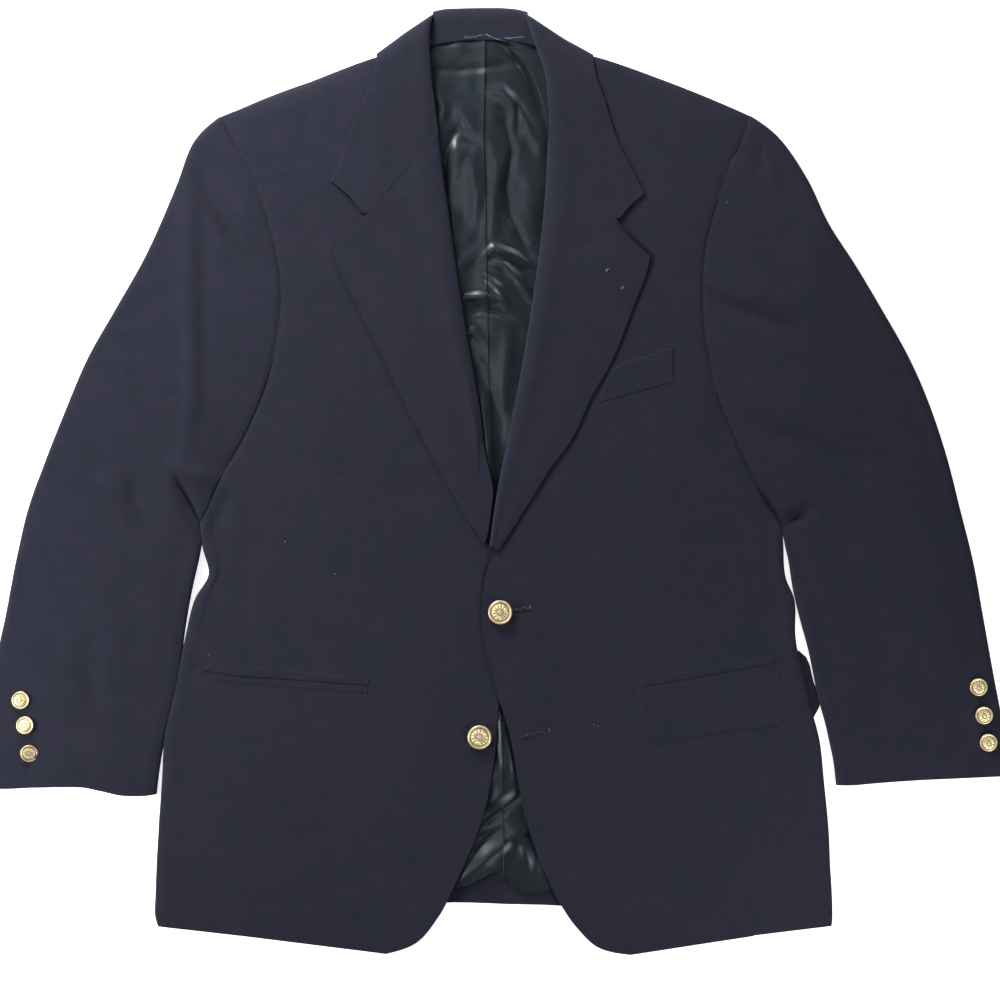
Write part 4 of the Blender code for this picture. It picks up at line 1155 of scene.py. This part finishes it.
def collar_leaf_rows(side):
    gorge_y, tip_x, tip_y = LAPEL[side][0]
    gorge, tip = (roll_x(side, gorge_y), gorge_y), (tip_x, tip_y)
    away = Vector((SIDES[side] * (gorge_y - tip_y), abs(tip_x - gorge[0]))).normalized()
    notch = mix_rows(gorge, tip, NOTCH_SHARE)
    first = tuple(Vector(gorge) + away * GORGE_GAPS[0]) + tuple(Vector(notch) + away * GORGE_GAPS[1])
    rows = []
    for x0, y0, x1, y1, x2, y2, drop in [first + COLLAR_CORNER[side] + (0,)] + COLLAR[side]:
        row = []
        for share, stand in zip(LEAF_SHARES, LEAF_STANDS):
            x, y = mix_rows((x0, y0), (x1, y1), share)
            row.append((x, y, body_height(x, y) + LAPEL_LIFT - drop + stand))
        for share in (0, 0.5, 1):
            x, y = mix_rows((x1, y1), (x2, y2), share)
            row.append((x, y, body_height(x, y) + LAPEL_LIFT - drop - EDGE_PRESS * ramp(0, 1, share)))
        rows.append(row)
    for x0, y0, x1, y1, x2, y2, height in COLLAR_UNDER[side]:
        places = [mix_rows((x0, y0), (x1, y1), share) for share in LEAF_SHARES]
        places += [mix_rows((x1, y1), (x2, y2), share) for share in (0, 0.5, 1)]
        rows.append([(x, y, height) for x, y in places])
    return rows


def collar_back_rows():
    radius = (STAND_HEIGHT - COLLAR_UNDER_HEIGHT) / 2
    rows = []
    for seam_x, seam_y, fold_x, fold_y, under_x, under_y in COLLAR_BACK:
        seam, under = (seam_x, seam_y), (under_x, under_y)
        turn = (fold_x, fold_y - radius - WOOL_LAPEL / 2)
        row = [seam + (STAND_SEAM_HEIGHT,), mix_rows(seam, turn, 0.5) + (STAND_HEIGHT - 0.3,)]
        for degrees in FOLD_DEGREES:
            angle = math.radians(degrees)
            height = COLLAR_UNDER_HEIGHT + radius * (1 + math.sin(angle))
            row.append((turn[0], turn[1] + radius * math.cos(angle), height))
        row += [mix_rows(turn, under, share) + (COLLAR_UNDER_HEIGHT,) for share in (0.5, 1)]
        rows.append(row)
    return rows


for side in SIDES:
    cloth(f"{side}_collar_cloth", f"collar_leaf_{side}", collar_leaf_rows(side), WOOL_LAPEL, NAVY, ("body",),
          spacing=3, sewn={"top": ((), 0.12)})
cloth("back_collar_cloth", "collar_back", collar_back_rows(), WOOL_LAPEL, NAVY, ("flat",),
      spacing=3)

# %% [markdown]
# The lining shows in the neck opening and below the buttons. It is cut longer and wider than the
# wool, with a pleat down its centre, so it never strains, and the spare cloth lies in soft folds.
# Each fold is a ridge or a trough, given as the wool's creases are.

# %% Lining folds
LINING_CREASES = [
    ([(-60, 381), (-30, 380), (-12, 381), (20, 386)], 5, -2.0),
    ([(-58, 396), (-30, 397), (-8, 396)], 5, 1.2),
    ([(2, 404), (15, 397), (25, 380), (35, 358), (40, 338)], 4, -2.6),
    ([(-58, 368), (-40, 370), (-20, 368)], 8, 0.8),
    ([(-58, 366), (-50, 345), (-52, 330)], 6, 3.0),
    ([(-38, 350), (-28, 330), (-18, 318)], 7, 2.8),
    ([(-34, 326), (-42, 318), (-48, 298), (-51, 268), (-46, 236)], 4, -3.4),
    ([(-38, 306), (-24, 300), (-20, 262), (-22, 228)], 7, 3.4),
    ([(-11, 362), (4, 358), (14, 348), (30, 326)], 6, 3.6),
    ([(6, 330), (13, 304), (7, 270), (12, 242), (24, 218)], 3.6, -3.6),
    ([(17, 350), (19, 334), (18, 318)], 2.6, -2.4),
    ([(22, 332), (34, 318), (44, 300)], 9, 3.2),
    ([(-8, 316), (0, 290), (-3, 262), (-4, 232)], 6, 2.6),
    ([(-14, 204), (-4, 214), (14, 208), (34, 194)], 3.6, 4.2),
    ([(-9, 201), (6, 198), (18, 187), (32, 166)], 3.4, 4.0),
    ([(-12, 188), (0, 178), (8, 164)], 3.4, 3.6),
    ([(-40, 168), (-18, 170), (4, 167)], 3, 3.0),
    ([(-40, 196), (-26, 206), (-16, 214)], 7, 1.8),
    ([(-34, 154), (-16, 158), (0, 154), (10, 150)], 3.6, -3.4),
    ([(-34, 134), (-22, 138), (-14, 128)], 4, 2.2),
    ([(-26, 116), (-16, 104), (-12, 90)], 6, -1.6),
    ([(-12, 96), (-2, 72), (2, 36)], 5, -1.8),
    ([(-14, 78), (-10, 30), (-5, -14)], 5.5, 3.2),
    ([(10, 140), (8, 110), (4, 70)], 6, 1.8),
    ([(6, -228), (8, -250), (12, -268)], 6, 3.2),
    ([(-6, -262), (-4, -280), (-2, -300)], 6, 1.6),
    ([(-16, -318), (2, -304), (20, -289)], 5, -3.4),
    ([(-18, -300), (-2, -294), (10, -284)], 6, 1.6),
    ([(-38, -374), (-18, -352), (2, -337), (18, -322)], 6, 4.4),
    ([(-24, -340), (-10, -330), (2, -322)], 4, -2.4),
    ([(12, -320), (24, -334), (28, -356)], 5, 4.0),
    ([(24, -324), (30, -329), (36, -334)], 3, -2.4),
    ([(40, -350), (41, -362), (44, -372)], 4, 1.4),
    ([(-56, 318), (-40, 300), (-38, 270)], 13, 3.4),
    ([(22, 300), (34, 270), (28, 236)], 14, 3.6),
    ([(-30, 250), (-18, 226), (-24, 206)], 10, -2.0),
    ([(20, 210), (30, 190), (24, 160)], 9, -2.0),
    ([(0, -206), (3, -226), (2, -250)], 4.5, 3.6),
    ([(-30, -366), (-12, -356), (4, -350)], 6, 2.6),
]
CREASES.extend(("lining", line, half_width, rise) for line, half_width, rise in LINING_CREASES)
# Middle x, y, reach across and along, rise of the loose lining
LINING_PUFFS = [
    (-6, 300, 30, 130, 2.6), (0, 130, 16, 70, 1.2), (6, -258, 11, 52, 3.0), (2, -338, 34, 34, 2.4),
]
# Troughs deeper than this get painted shade, by so much for each millimetre
SHADOW_FROM = -2.2
SHADOW_PER_MM = 0.16
for line, half_width, rise in LINING_CREASES:
    if rise < SHADOW_FROM:
        PAINTED_SHADE_LINES.append((("lining",), line, half_width * 0.8, SHADOW_PER_MM * -rise))
# Line, half width, strength of the painted shade: the pleat, the front lining's edge and the fold below the
# neck seam
for line, half_width, amount in (
    ([(-11, 404), (-12, 330), (-12, 250), (-11, 165), (-9, 80)], 1.2, 0.7),
    ([(-2, 405), (10, 396), (21, 381), (30, 362), (37, 340)], 5.0, 0.85),
    ([(-62, 380), (-30, 380), (4, 382)], 5.0, 0.7),
):
    PAINTED_SHADE_LINES.append((("lining",), line, half_width, amount))
print("lining folds", len(LINING_CREASES))

# %% [markdown]
# The back's lining is two halves that meet in the pleat, where the right one laps over the left one.
# Its lower edge is drawn up at the middle, and shows the wool's turned-up hem below it. A strip of
# the left front's lining lies over it beside the neck. One sheet with a drawn line would be easier,
# but only two halves give the pleat an edge that catches the light.

# %% Lining of the back and of the left front
LINING_ROWS = [(404.6, -13, 42), (378, -13, 66), (345, -14, 95), (315, -14.5, 100), (285, -13.5, 105),
               (255, -12.5, 105), (225, -12, 105), (195, -11.5, 105), (165, -11, 105), (130, -10.5, 105),
               (90, -9.5, 105), (50, -8, 105), (10, -8, 105), (-60, -6, 105), (-130, -3, 105), (-190, 0, 105),
               (-230, 2, 105), (-270, 3, 105), (-305, 3, 105), (-330, 4, 105), (-350, 4, 105)]
LINING_SHARES = (0, 0.09, 0.19, 0.30, 0.42, 0.58, 1)
PLEAT_LAP = {"right": 1.6, "left": 0.6}
PLEAT_LIFT = {"right": 1.0, "left": -0.1}
LINING_HEM = [
    (-125, -378), (-53, -376), (-21, -371), (-7, -362), (2, -361), (11, -371), (57, -378), (125, -379),
]
PLEAT_REACH = 6.0
FRONT_LINING = [(399, 10, 24), (392, 17, 42), (384, 25, 58), (365, 35, 70), (345, 42, 72), (325, 45, 74)]


def hem_y(x):
    """The lining's lower edge, drawn up at its middle."""
    return float(smooth_line([place[0] for place in LINING_HEM], [[place[1]] for place in LINING_HEM],
                             np.array([x]))[0, 0])


def lining_rows(side):
    """One half of the lining: the right one laps over the left one at the pleat."""
    out, lap = SIDES[side], PLEAT_LAP[side]
    rows = []
    for y, pleat_x, reach in LINING_ROWS:
        start, end = pleat_x - out * lap, pleat_x + out * reach
        places = [mix(start, end, share) for share in LINING_SHARES]
        lifts = [PLEAT_LIFT[side] * math.exp(-abs(x - start) / PLEAT_REACH) for x in places]
        rows.append([(x, y, lining_height(x, y) + lift) for x, lift in zip(places, lifts)])
    rows.append([(x, hem_y(x), lining_height(x, hem_y(x)) + lift) for x, lift in zip(places, lifts)])
    return rows


for side in SIDES:
    cloth(f"{side}_lining_satin", f"back_lining_{side}", lining_rows(side), SATIN, SATIN_TEAL, ("lining",),
          spacing=2.2, rim=0.4)

front_lining = []
for y, inner_x, outer_x in FRONT_LINING:
    places = [mix(inner_x, outer_x, share) for share in (0, 0.3, 0.6, 1)]
    front_lining.append([(x, y, FRONT_LINING_HEIGHT + neck_lift(x, y)) for x in places])
cloth("left_front_lining_satin", "front_lining_left", front_lining, SATIN, SATIN_TEAL, ("flat",),
      spacing=2.5, rim=0.12)

# %% [markdown]
# Pockets are narrow strips and one flap sewn on top of the fronts. They could be cut into the fronts'
# grids, but strips of their own keep those grids even. They follow the front's own height at every
# point, so they never sink in or float.

# %% Pockets
WELT = [((103.5, 103), (91.5, 71)), ((125, 111), (113, 77)), ((144, 117), (138, 84)), ((162, 123), (162, 91))]
FLAP = [((129, -192), (135, -238)), ((137, -190.3), (142, -243)), ((150, -188.2), (160, -242)),
        ((190, -181.2), (195, -235)), ((225, -174.8), (228, -230)), ((259, -168.8), (259, -227))]
JET_LEFT = [((133, -184), (131, -190)), ((165, -177.5), (164, -184.6)), ((200, -171), (200, -178)),
            ((232, -165), (232, -172)), ((255, -161), (257, -167.5))]
JET_RIGHT_UPPER = [((-262, -167.5), (-272, -174.5)), ((-243, -169.5), (-250, -178.6)),
                   ((-218, -172), (-224, -181.2)), ((-185, -175.2), (-188, -183.3)),
                   ((-150, -179.2), (-151, -186.2)), ((-117, -182), (-119, -188.5))]
JET_RIGHT_LOWER = [((-272, -175.5), (-269, -181)), ((-250, -179.6), (-249, -185.4)),
                   ((-224, -182.2), (-224, -187.6)), ((-188, -184.3), (-188, -190)),
                   ((-151, -187.2), (-151, -193.6)), ((-119, -189.5), (-119, -196))]


def trim_rows(side, pairs):
    rows = []
    for share in (0, 0.25, 0.5, 0.75, 1):
        places = [mix_rows(top, bottom, share) for top, bottom in pairs]
        rows.append([(x, y, front_height(side, x, y) + TRIM_LIFT) for x, y in places])
    return rows


for name, node, side, pairs in (
    ("breast_welt_cloth", "breast_pocket_welt", "left", WELT),
    ("left_flap_cloth", "pocket_flap_left", "left", FLAP),
    ("left_jet_cloth", "pocket_jet_left", "left", JET_LEFT),
    ("right_upper_jet_cloth", "pocket_jet_right_upper", "right", JET_RIGHT_UPPER),
    ("right_lower_jet_cloth", "pocket_jet_right_lower", "right", JET_RIGHT_LOWER),
):
    cloth(name, node, trim_rows(side, pairs), WOOL_TRIM, NAVY, ("body",),
          spacing=2.5, rim=0.8, sewn={"end": ((), 2.2)})

# %% [markdown]
# The buttons are stamped brass with a rolled rim and a shallow dome, and here a plain rosette lies on
# the dome. A lathe's profile alone would leave it bare, so each button is turned point by point: the
# radius and the angle give the height, and the petals are a wave round the middle of the dome.

# %% Gilt buttons
PETALS = 12
BUTTON_SEGMENTS = 96
# Share of the radius, share of the height
BUTTON_PROFILE = [
    (0, 0.90), (0.10, 0.92), (0.20, 0.86), (0.26, 0.80), (0.34, 0.86), (0.46, 0.84), (0.58, 0.76),
    (0.68, 0.66), (0.74, 0.60), (0.80, 0.62), (0.87, 0.78), (0.93, 0.76), (0.98, 0.58),
    (1.0, 0.36), (0.97, 0.14), (0.86, 0.02), (0.55, 0.0),
]
BUTTON_FILL = 0.86
# Middle and half width of the ring of petals, in shares of the radius, and the petals' height
PETAL_RING = (0.47, 0.11)
PETAL_HEIGHT = 0.10
# Middle, half width and strength of the painted shade in each groove, and how far the petals stay clear of it
GROOVES = ((0.74, 0.05, 1.0), (0.26, 0.05, 0.7), (1.0, 0.03, 0.9))
PETAL_CLEAR = 0.55
WELD = 1e-6
BRASS_DULL = (0.93, 0.73, 0.36, 1)
BRASS_BRIGHT = (1.0, 0.88, 0.56, 1)
# Colour of the painted shade in the button's grooves
BRASS_GROOVE_SHADE = (0.20, 0.11, 0.035, 1)


def brass_material():
    material, tree, shader = new_material("Gilt brass", "gilt_brass")
    mottle = mottled(tree, clouds_per_metre=160.0, contrast=1.4)
    bright = mix_colours(tree, mottle, BRASS_DULL, BRASS_BRIGHT)
    # Painted shade in the grooves and round the outer edge
    link(tree, with_painted_shade(tree, "Groove shade", bright, BRASS_GROOVE_SHADE), shader.inputs["Base Color"])
    vary_roughness(tree, shader, mottle, 0.16, 0.36)
    shader.inputs["Metallic"].default_value = 0.66
    return material


BRASS = brass_material()


# Slope to the wearer's left and up the garment, of the loosely sewn buttons
BUTTON_SLOPES = {"button_cuff_right_2": (0.10, -0.08), "button_cuff_right_3": (-0.28, 0.20)}


def bell(share, middle, half_width):
    return math.exp(-(((share - middle) / half_width) ** 2))


def button(name, node):
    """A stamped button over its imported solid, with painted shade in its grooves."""
    slope_x, slope_y = BUTTON_SLOPES.get(node, (0.0, 0.0))
    low, high = (np.array(corner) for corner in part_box(node))
    centre = (low + high) / 2
    radius, height = (high[0] - low[0]) / 2, (high[2] - low[2]) * BUTTON_FILL
    base = high[2] - height
    points, groove_shade = [], []
    for share, level in BUTTON_PROFILE:
        for step in range(BUTTON_SEGMENTS):
            angle = 2 * math.pi * step / BUTTON_SEGMENTS
            petal = math.cos(PETALS * angle) * bell(share, *PETAL_RING)
            x, y = share * radius * math.cos(angle), share * radius * math.sin(angle)
            z = base + height * (level + PETAL_HEIGHT * petal) + slope_x * x + slope_y * y
            x, y = x / math.hypot(1, slope_x), y / math.hypot(1, slope_y)
            points.append((centre[0] + x, centre[1] + y, z))
            # Painted shade in the grooves and round the outer edge, kept off the petals
            groove = sum(amount * bell(share, middle, half) for middle, half, amount in GROOVES)
            groove_shade.append(min(1.0, max(0.0, groove - PETAL_CLEAR * petal)))
    faces = []
    for ring in range(len(BUTTON_PROFILE) - 1):
        for step in range(BUTTON_SEGMENTS):
            after = (step + 1) % BUTTON_SEGMENTS
            upper, lower = ring * BUTTON_SEGMENTS, (ring + 1) * BUTTON_SEGMENTS
            faces.append((upper + step, lower + step, lower + after, upper + after))
    last = (len(BUTTON_PROFILE) - 1) * BUTTON_SEGMENTS
    faces.append(tuple(last + step for step in reversed(range(BUTTON_SEGMENTS))))
    mesh = bpy.data.meshes.new(name)
    mesh.from_pydata(points, [], faces)
    mesh.attributes.new("Groove shade", "FLOAT", "POINT").data.foreach_set("value", groove_shade)
    face_outwards(mesh, WELD)
    add_piece(name, mesh, BRASS, node)


BUTTONS = sorted(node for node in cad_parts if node.startswith("button"))
for node in BUTTONS:
    button(f"gilt_{node}", node)
print("buttons", len(BUTTONS))

# %% [markdown]
# Buttonholes are bound with close stitches, so each is a thin cord of thread round its slit, with a pale bar
# across the end and a few pale flecks. The slit's shade is painted: a near-black cord lies in it. A few
# stitches are left at the neck, and some lint clings to the wool. All of it is the same thing at different
# sizes: a cord along a line on the cloth.

# %% Buttonholes, loose stitches and lint
CORD_SEGMENTS = 8
THREAD_SHADE = 0.6


def thread_material(name, colour):
    material, tree, shader = new_material(name, "navy_wool")
    mottle = mottled(tree, clouds_per_metre=400.0, contrast=1.0)
    darker = tuple(value * THREAD_SHADE for value in colour[:3]) + (1,)
    link(tree, mix_colours(tree, mottle, darker, colour), shader.inputs["Base Color"])
    shader.inputs["Roughness"].default_value = 0.7
    return material


THREAD_NAVY = thread_material("Navy thread", (0.014, 0.015, 0.026, 1))
# A near-black cord as painted shade in each buttonhole's slit
SLIT_SHADE_CORD = thread_material("Shaded slit", (0.0020, 0.0020, 0.0030, 1))
THREAD_PALE = thread_material("Pale thread", (0.42, 0.43, 0.50, 1))


def cord(name, points, radius, material):
    """A closed tube along a line of points, for sewing thread and lint."""
    points = np.array(points, float)
    along = unit(np.gradient(points, axis=0))
    aside = unit(np.cross(along, (0, 0, 1)))
    upward = np.cross(aside, along)
    rings = []
    for step in range(CORD_SEGMENTS):
        angle = 2 * math.pi * step / CORD_SEGMENTS
        rings.append(points + radius * (aside * math.cos(angle) + upward * math.sin(angle)))
    verts = np.stack(rings, axis=1).reshape(-1, 3)
    faces = []
    for place in range(len(points) - 1):
        for step in range(CORD_SEGMENTS):
            after = (step + 1) % CORD_SEGMENTS
            low, high = place * CORD_SEGMENTS, (place + 1) * CORD_SEGMENTS
            faces.append((low + step, low + after, high + after, high + step))
    last = (len(points) - 1) * CORD_SEGMENTS
    faces += [tuple(reversed(range(CORD_SEGMENTS))), tuple(last + step for step in range(CORD_SEGMENTS))]
    mesh = bpy.data.meshes.new(name)
    mesh.from_pydata(to_frame(verts).tolist(), [], faces)
    mesh.shade_smooth()
    add_piece(name, mesh, material)


def cord_on_front(name, side, places, lift, radius, material):
    """A cord that lies on a front, a little above its surface."""
    top = WOOL / 2 + lift
    cord(name, [(x, y, front_height(side, x, y) + top) for x, y in places], radius, material)


BUTTONHOLE_HALF_WIDTH = 1.1
LOOP_STEPS = 32
# A lower power makes the loop's ends squarer
LOOP_POWER = 0.4
# Share along the buttonhole, share across it
FLECKS = ((-0.55, 0.9), (-0.1, -0.8), (0.3, 0.5), (0.62, -0.9))
# Height above the cloth, radius
BINDING = (0.05, 0.34)
SLIT = (0.05, 0.62)
BAR = (0.3, 0.3)
FLECK = (0.45, 0.11)
# Start and end of each buttonhole
BUTTONHOLES = [((13.8, -120.0), (29.5, -116.4)), ((21.2, -236.0), (47.0, -229.4))]
for number, (start, end) in enumerate(BUTTONHOLES):
    middle, half = (Vector(start) + Vector(end)) / 2, (Vector(end) - Vector(start)) / 2
    across = Vector((-half.y, half.x)).normalized() * BUTTONHOLE_HALF_WIDTH
    loop = []
    for step in range(LOOP_STEPS + 1):
        turn = 2 * math.pi * step / LOOP_STEPS
        squared = math.copysign(abs(math.sin(turn)) ** LOOP_POWER, math.sin(turn))
        loop.append(tuple(middle + half * math.cos(turn) + across * squared))
    cord_on_front(f"buttonhole_{number}", "left", loop, *BINDING, THREAD_NAVY)
    # The slit's painted shade: a near-black cord along it
    slit = [tuple(middle + half * share) for share in (-1, -0.5, 0, 0.5, 1)]
    cord_on_front(f"buttonhole_slit_shade_{number}", "left", slit, *SLIT, SLIT_SHADE_CORD)
    bar = [tuple(Vector(end) + across * share) for share in (-1.2, -0.4, 0.4, 1.2)]
    cord_on_front(f"buttonhole_bar_{number}", "left", bar, *BAR, THREAD_PALE)
    for fleck, (share, aside) in enumerate(FLECKS):
        place = middle + half * share + across * aside
        ends = [tuple(place + half.normalized() * step + across * step * 0.6) for step in (-0.6, 0, 0.6)]
        cord_on_front(f"buttonhole_fleck_{number}_{fleck}", "left", ends, *FLECK, THREAD_PALE)

# How far above the front's even height lint lies, and where the front or the lapel is fuller
LOW = 0.1
FULL = 0.9
ON_LAPEL = FULL + LAPEL_LIFT
# Side, place, height, turn in degrees, length, radius
LINT = [
    ("left", (88, -225), LOW, 75, 2.4, 0.26),
    ("left", (92, -226), LOW, 20, 1.6, 0.2),
    ("left", (100, 193), ON_LAPEL, 80, 1.8, 0.22),
    ("left", (114, 177), ON_LAPEL, 40, 1.5, 0.2),
    ("right", (-266, -160), LOW, 60, 1.4, 0.2),
    ("right", (-196, -56), LOW, 15, 1.5, 0.18),
    ("left", (101, 194), ON_LAPEL, 15, 3.2, 0.11),
    ("left", (99.5, 192.5), ON_LAPEL, 140, 2.8, 0.11),
    ("left", (100, 194.5), ON_LAPEL, 50, 2.6, 0.1),
    ("left", (115, 178), ON_LAPEL, 100, 2.8, 0.11),
    ("left", (113.5, 176.5), ON_LAPEL, 155, 2.4, 0.1),
    ("left", (211, 256), FULL, 30, 1.4, 0.2),
    ("right", (-150, -86), LOW, 70, 1.3, 0.18),
    ("left", (160, -70), LOW, 20, 1.4, 0.18),
]
for number, (side, place, lift, degrees, length, radius) in enumerate(LINT):
    step = Vector((math.cos(math.radians(degrees)), math.sin(math.radians(degrees)))) * length / 2
    ends = [tuple(Vector(place) + step * share) for share in (-1, 0, 1)]
    cord_on_front(f"lint_{number}", side, ends, lift, radius, THREAD_PALE)

STITCH_RADIUS = 0.18
STITCH_LIFT = 0.2
LOOK_FROM = 40.0
# Lines through x, y of the thread ends left at the neck
NECK_STITCHES = [
    [(-31.0, 407.4), (-30.2, 409.0), (-29.2, 406.6), (-28.2, 409.2), (-27.0, 406.4), (-26.0, 409.0),
     (-24.8, 406.6), (-23.6, 409.2), (-22.4, 407.2), (-18.0, 409.6), (-13.0, 409.8)],
    [(6.4, 407.2), (12.0, 406.8), (18.0, 407.8), (23.9, 408.0)],
    [(-11.0, 410.6), (-5.0, 407.4), (2.0, 405.2), (8.3, 404.2)],
]
bpy.context.view_layer.update()
seen_cloth = bpy.context.evaluated_depsgraph_get()
for number, line in enumerate(NECK_STITCHES):
    laid = []
    for x, y in line:
        above = Vector(to_frame((x, y, LOOK_FROM)))
        hit, place, *_ = bpy.context.scene.ray_cast(seen_cloth, above, Vector((0, 0, -1)))
        laid.append((x, y, place.z / MM + STITCH_LIFT if hit else LINING_HEIGHT))
    cord(f"neck_stitch_{number}", laid, STITCH_RADIUS, THREAD_PALE)
print("buttonholes", len(BUTTONHOLES), "lint", len(LINT), "neck stitches", len(NECK_STITCHES))

# %% [markdown]
# The photograph looks straight down from well above, so a long lens three metres up gives the same
# flat view. Its frame is 920 mm wide at the cloth. The floor is plain and pale.

# %% Camera and floor
FRAME_WIDTH = 0.920
FRAME_MIDDLE = (0.00084, -0.0172)
CAMERA_HEIGHT = 3.0
# The height at which the frame has its width
CLOTH_LEVEL = 0.008
SENSOR = 36.0

camera = bpy.data.cameras.new("Camera")
camera.sensor_width = SENSOR
camera.lens = SENSOR * CAMERA_HEIGHT / FRAME_WIDTH
eye = bpy.data.objects.new("Camera", camera)
eye.location = (FRAME_MIDDLE[0], FRAME_MIDDLE[1], CAMERA_HEIGHT + CLOTH_LEVEL)
bpy.context.scene.collection.objects.link(eye)
bpy.context.scene.camera = eye
print("lens", round(camera.lens, 1), "mm")

FLOOR_REACH = 6.0
FLOOR_DROP = 0.0005
FLOOR_DARK = (0.86, 0.86, 0.86, 1)
FLOOR_LIGHT = (0.90, 0.90, 0.90, 1)
FLOOR_GLOW = (0.8, 0.8, 0.8, 1)
NO_GLOW = (0, 0, 0, 1)


def floor_material():
    material, tree, shader = new_material("Pale table", "floor")
    mottle = mottled(tree, clouds_per_metre=3.0, contrast=0.3)
    link(tree, mix_colours(tree, mottle, FLOOR_DARK, FLOOR_LIGHT), shader.inputs["Base Color"])
    shader.inputs["Roughness"].default_value = 0.9
    seen = tree.nodes.new("ShaderNodeLightPath").outputs["Is Camera Ray"]
    link(tree, mix_colours(tree, seen, NO_GLOW, FLOOR_GLOW), shader.inputs["Emission Color"])
    shader.inputs["Emission Strength"].default_value = 1.0
    return material


floor_mesh = bpy.data.meshes.new("table_floor")
corners = [(x * FLOOR_REACH, y * FLOOR_REACH, 0) for x, y in ((-1, -1), (1, -1), (1, 1), (-1, 1))]
floor_mesh.from_pydata(corners, [], [(0, 1, 2, 3)])
floor_mesh.materials.append(floor_material())
floor = bpy.data.objects.new("table_floor", floor_mesh)
floor.location.z = -FLOOR_DROP
bpy.context.scene.collection.objects.link(floor)

# %% [markdown]
# The light is soft and low. Most of it comes from the upper left, so the wearer's right sleeve is
# clearly paler than the left one. Weaker lamps on the other sides and a dim white world fill the shade.

# %% Light
AIM = Vector((0.0, 0.0, 0.0))
# Name, place, width and power of each lamp
LAMPS = (
    ("Upper window", (-0.6, 1.1, 0.45), 0.4, 24),
    ("Upper right window", (0.45, 0.95, 0.35), 0.4, 2.6),
    ("Left window", (-1.0, -0.3, 0.45), 0.4, 8.5),
    ("Low right window", (0.6, -0.7, 0.45), 0.4, 4),
    ("Ceiling", (-0.6, 0.05, 1.7), 0.45, 2.6),
)
WORLD_STRENGTH = 0.06
for name, place, size, power in LAMPS:
    lamp = bpy.data.lights.new(name, "AREA")
    lamp.shape = "DISK"
    lamp.size = size
    lamp.energy = power
    thing = bpy.data.objects.new(name, lamp)
    thing.location = place
    thing.rotation_euler = (AIM - Vector(place)).to_track_quat("-Z", "Y").to_euler()
    bpy.context.scene.collection.objects.link(thing)

world = bpy.data.worlds.new("Pale room")
world.use_nodes = True
world.node_tree.nodes["Background"].inputs["Color"].default_value = (1.0, 1.0, 1.0, 1)
world.node_tree.nodes["Background"].inputs["Strength"].default_value = WORLD_STRENGTH
bpy.context.scene.world = world
bpy.context.scene.view_settings.view_transform = "Standard"
print("lamps", len(LAMPS))
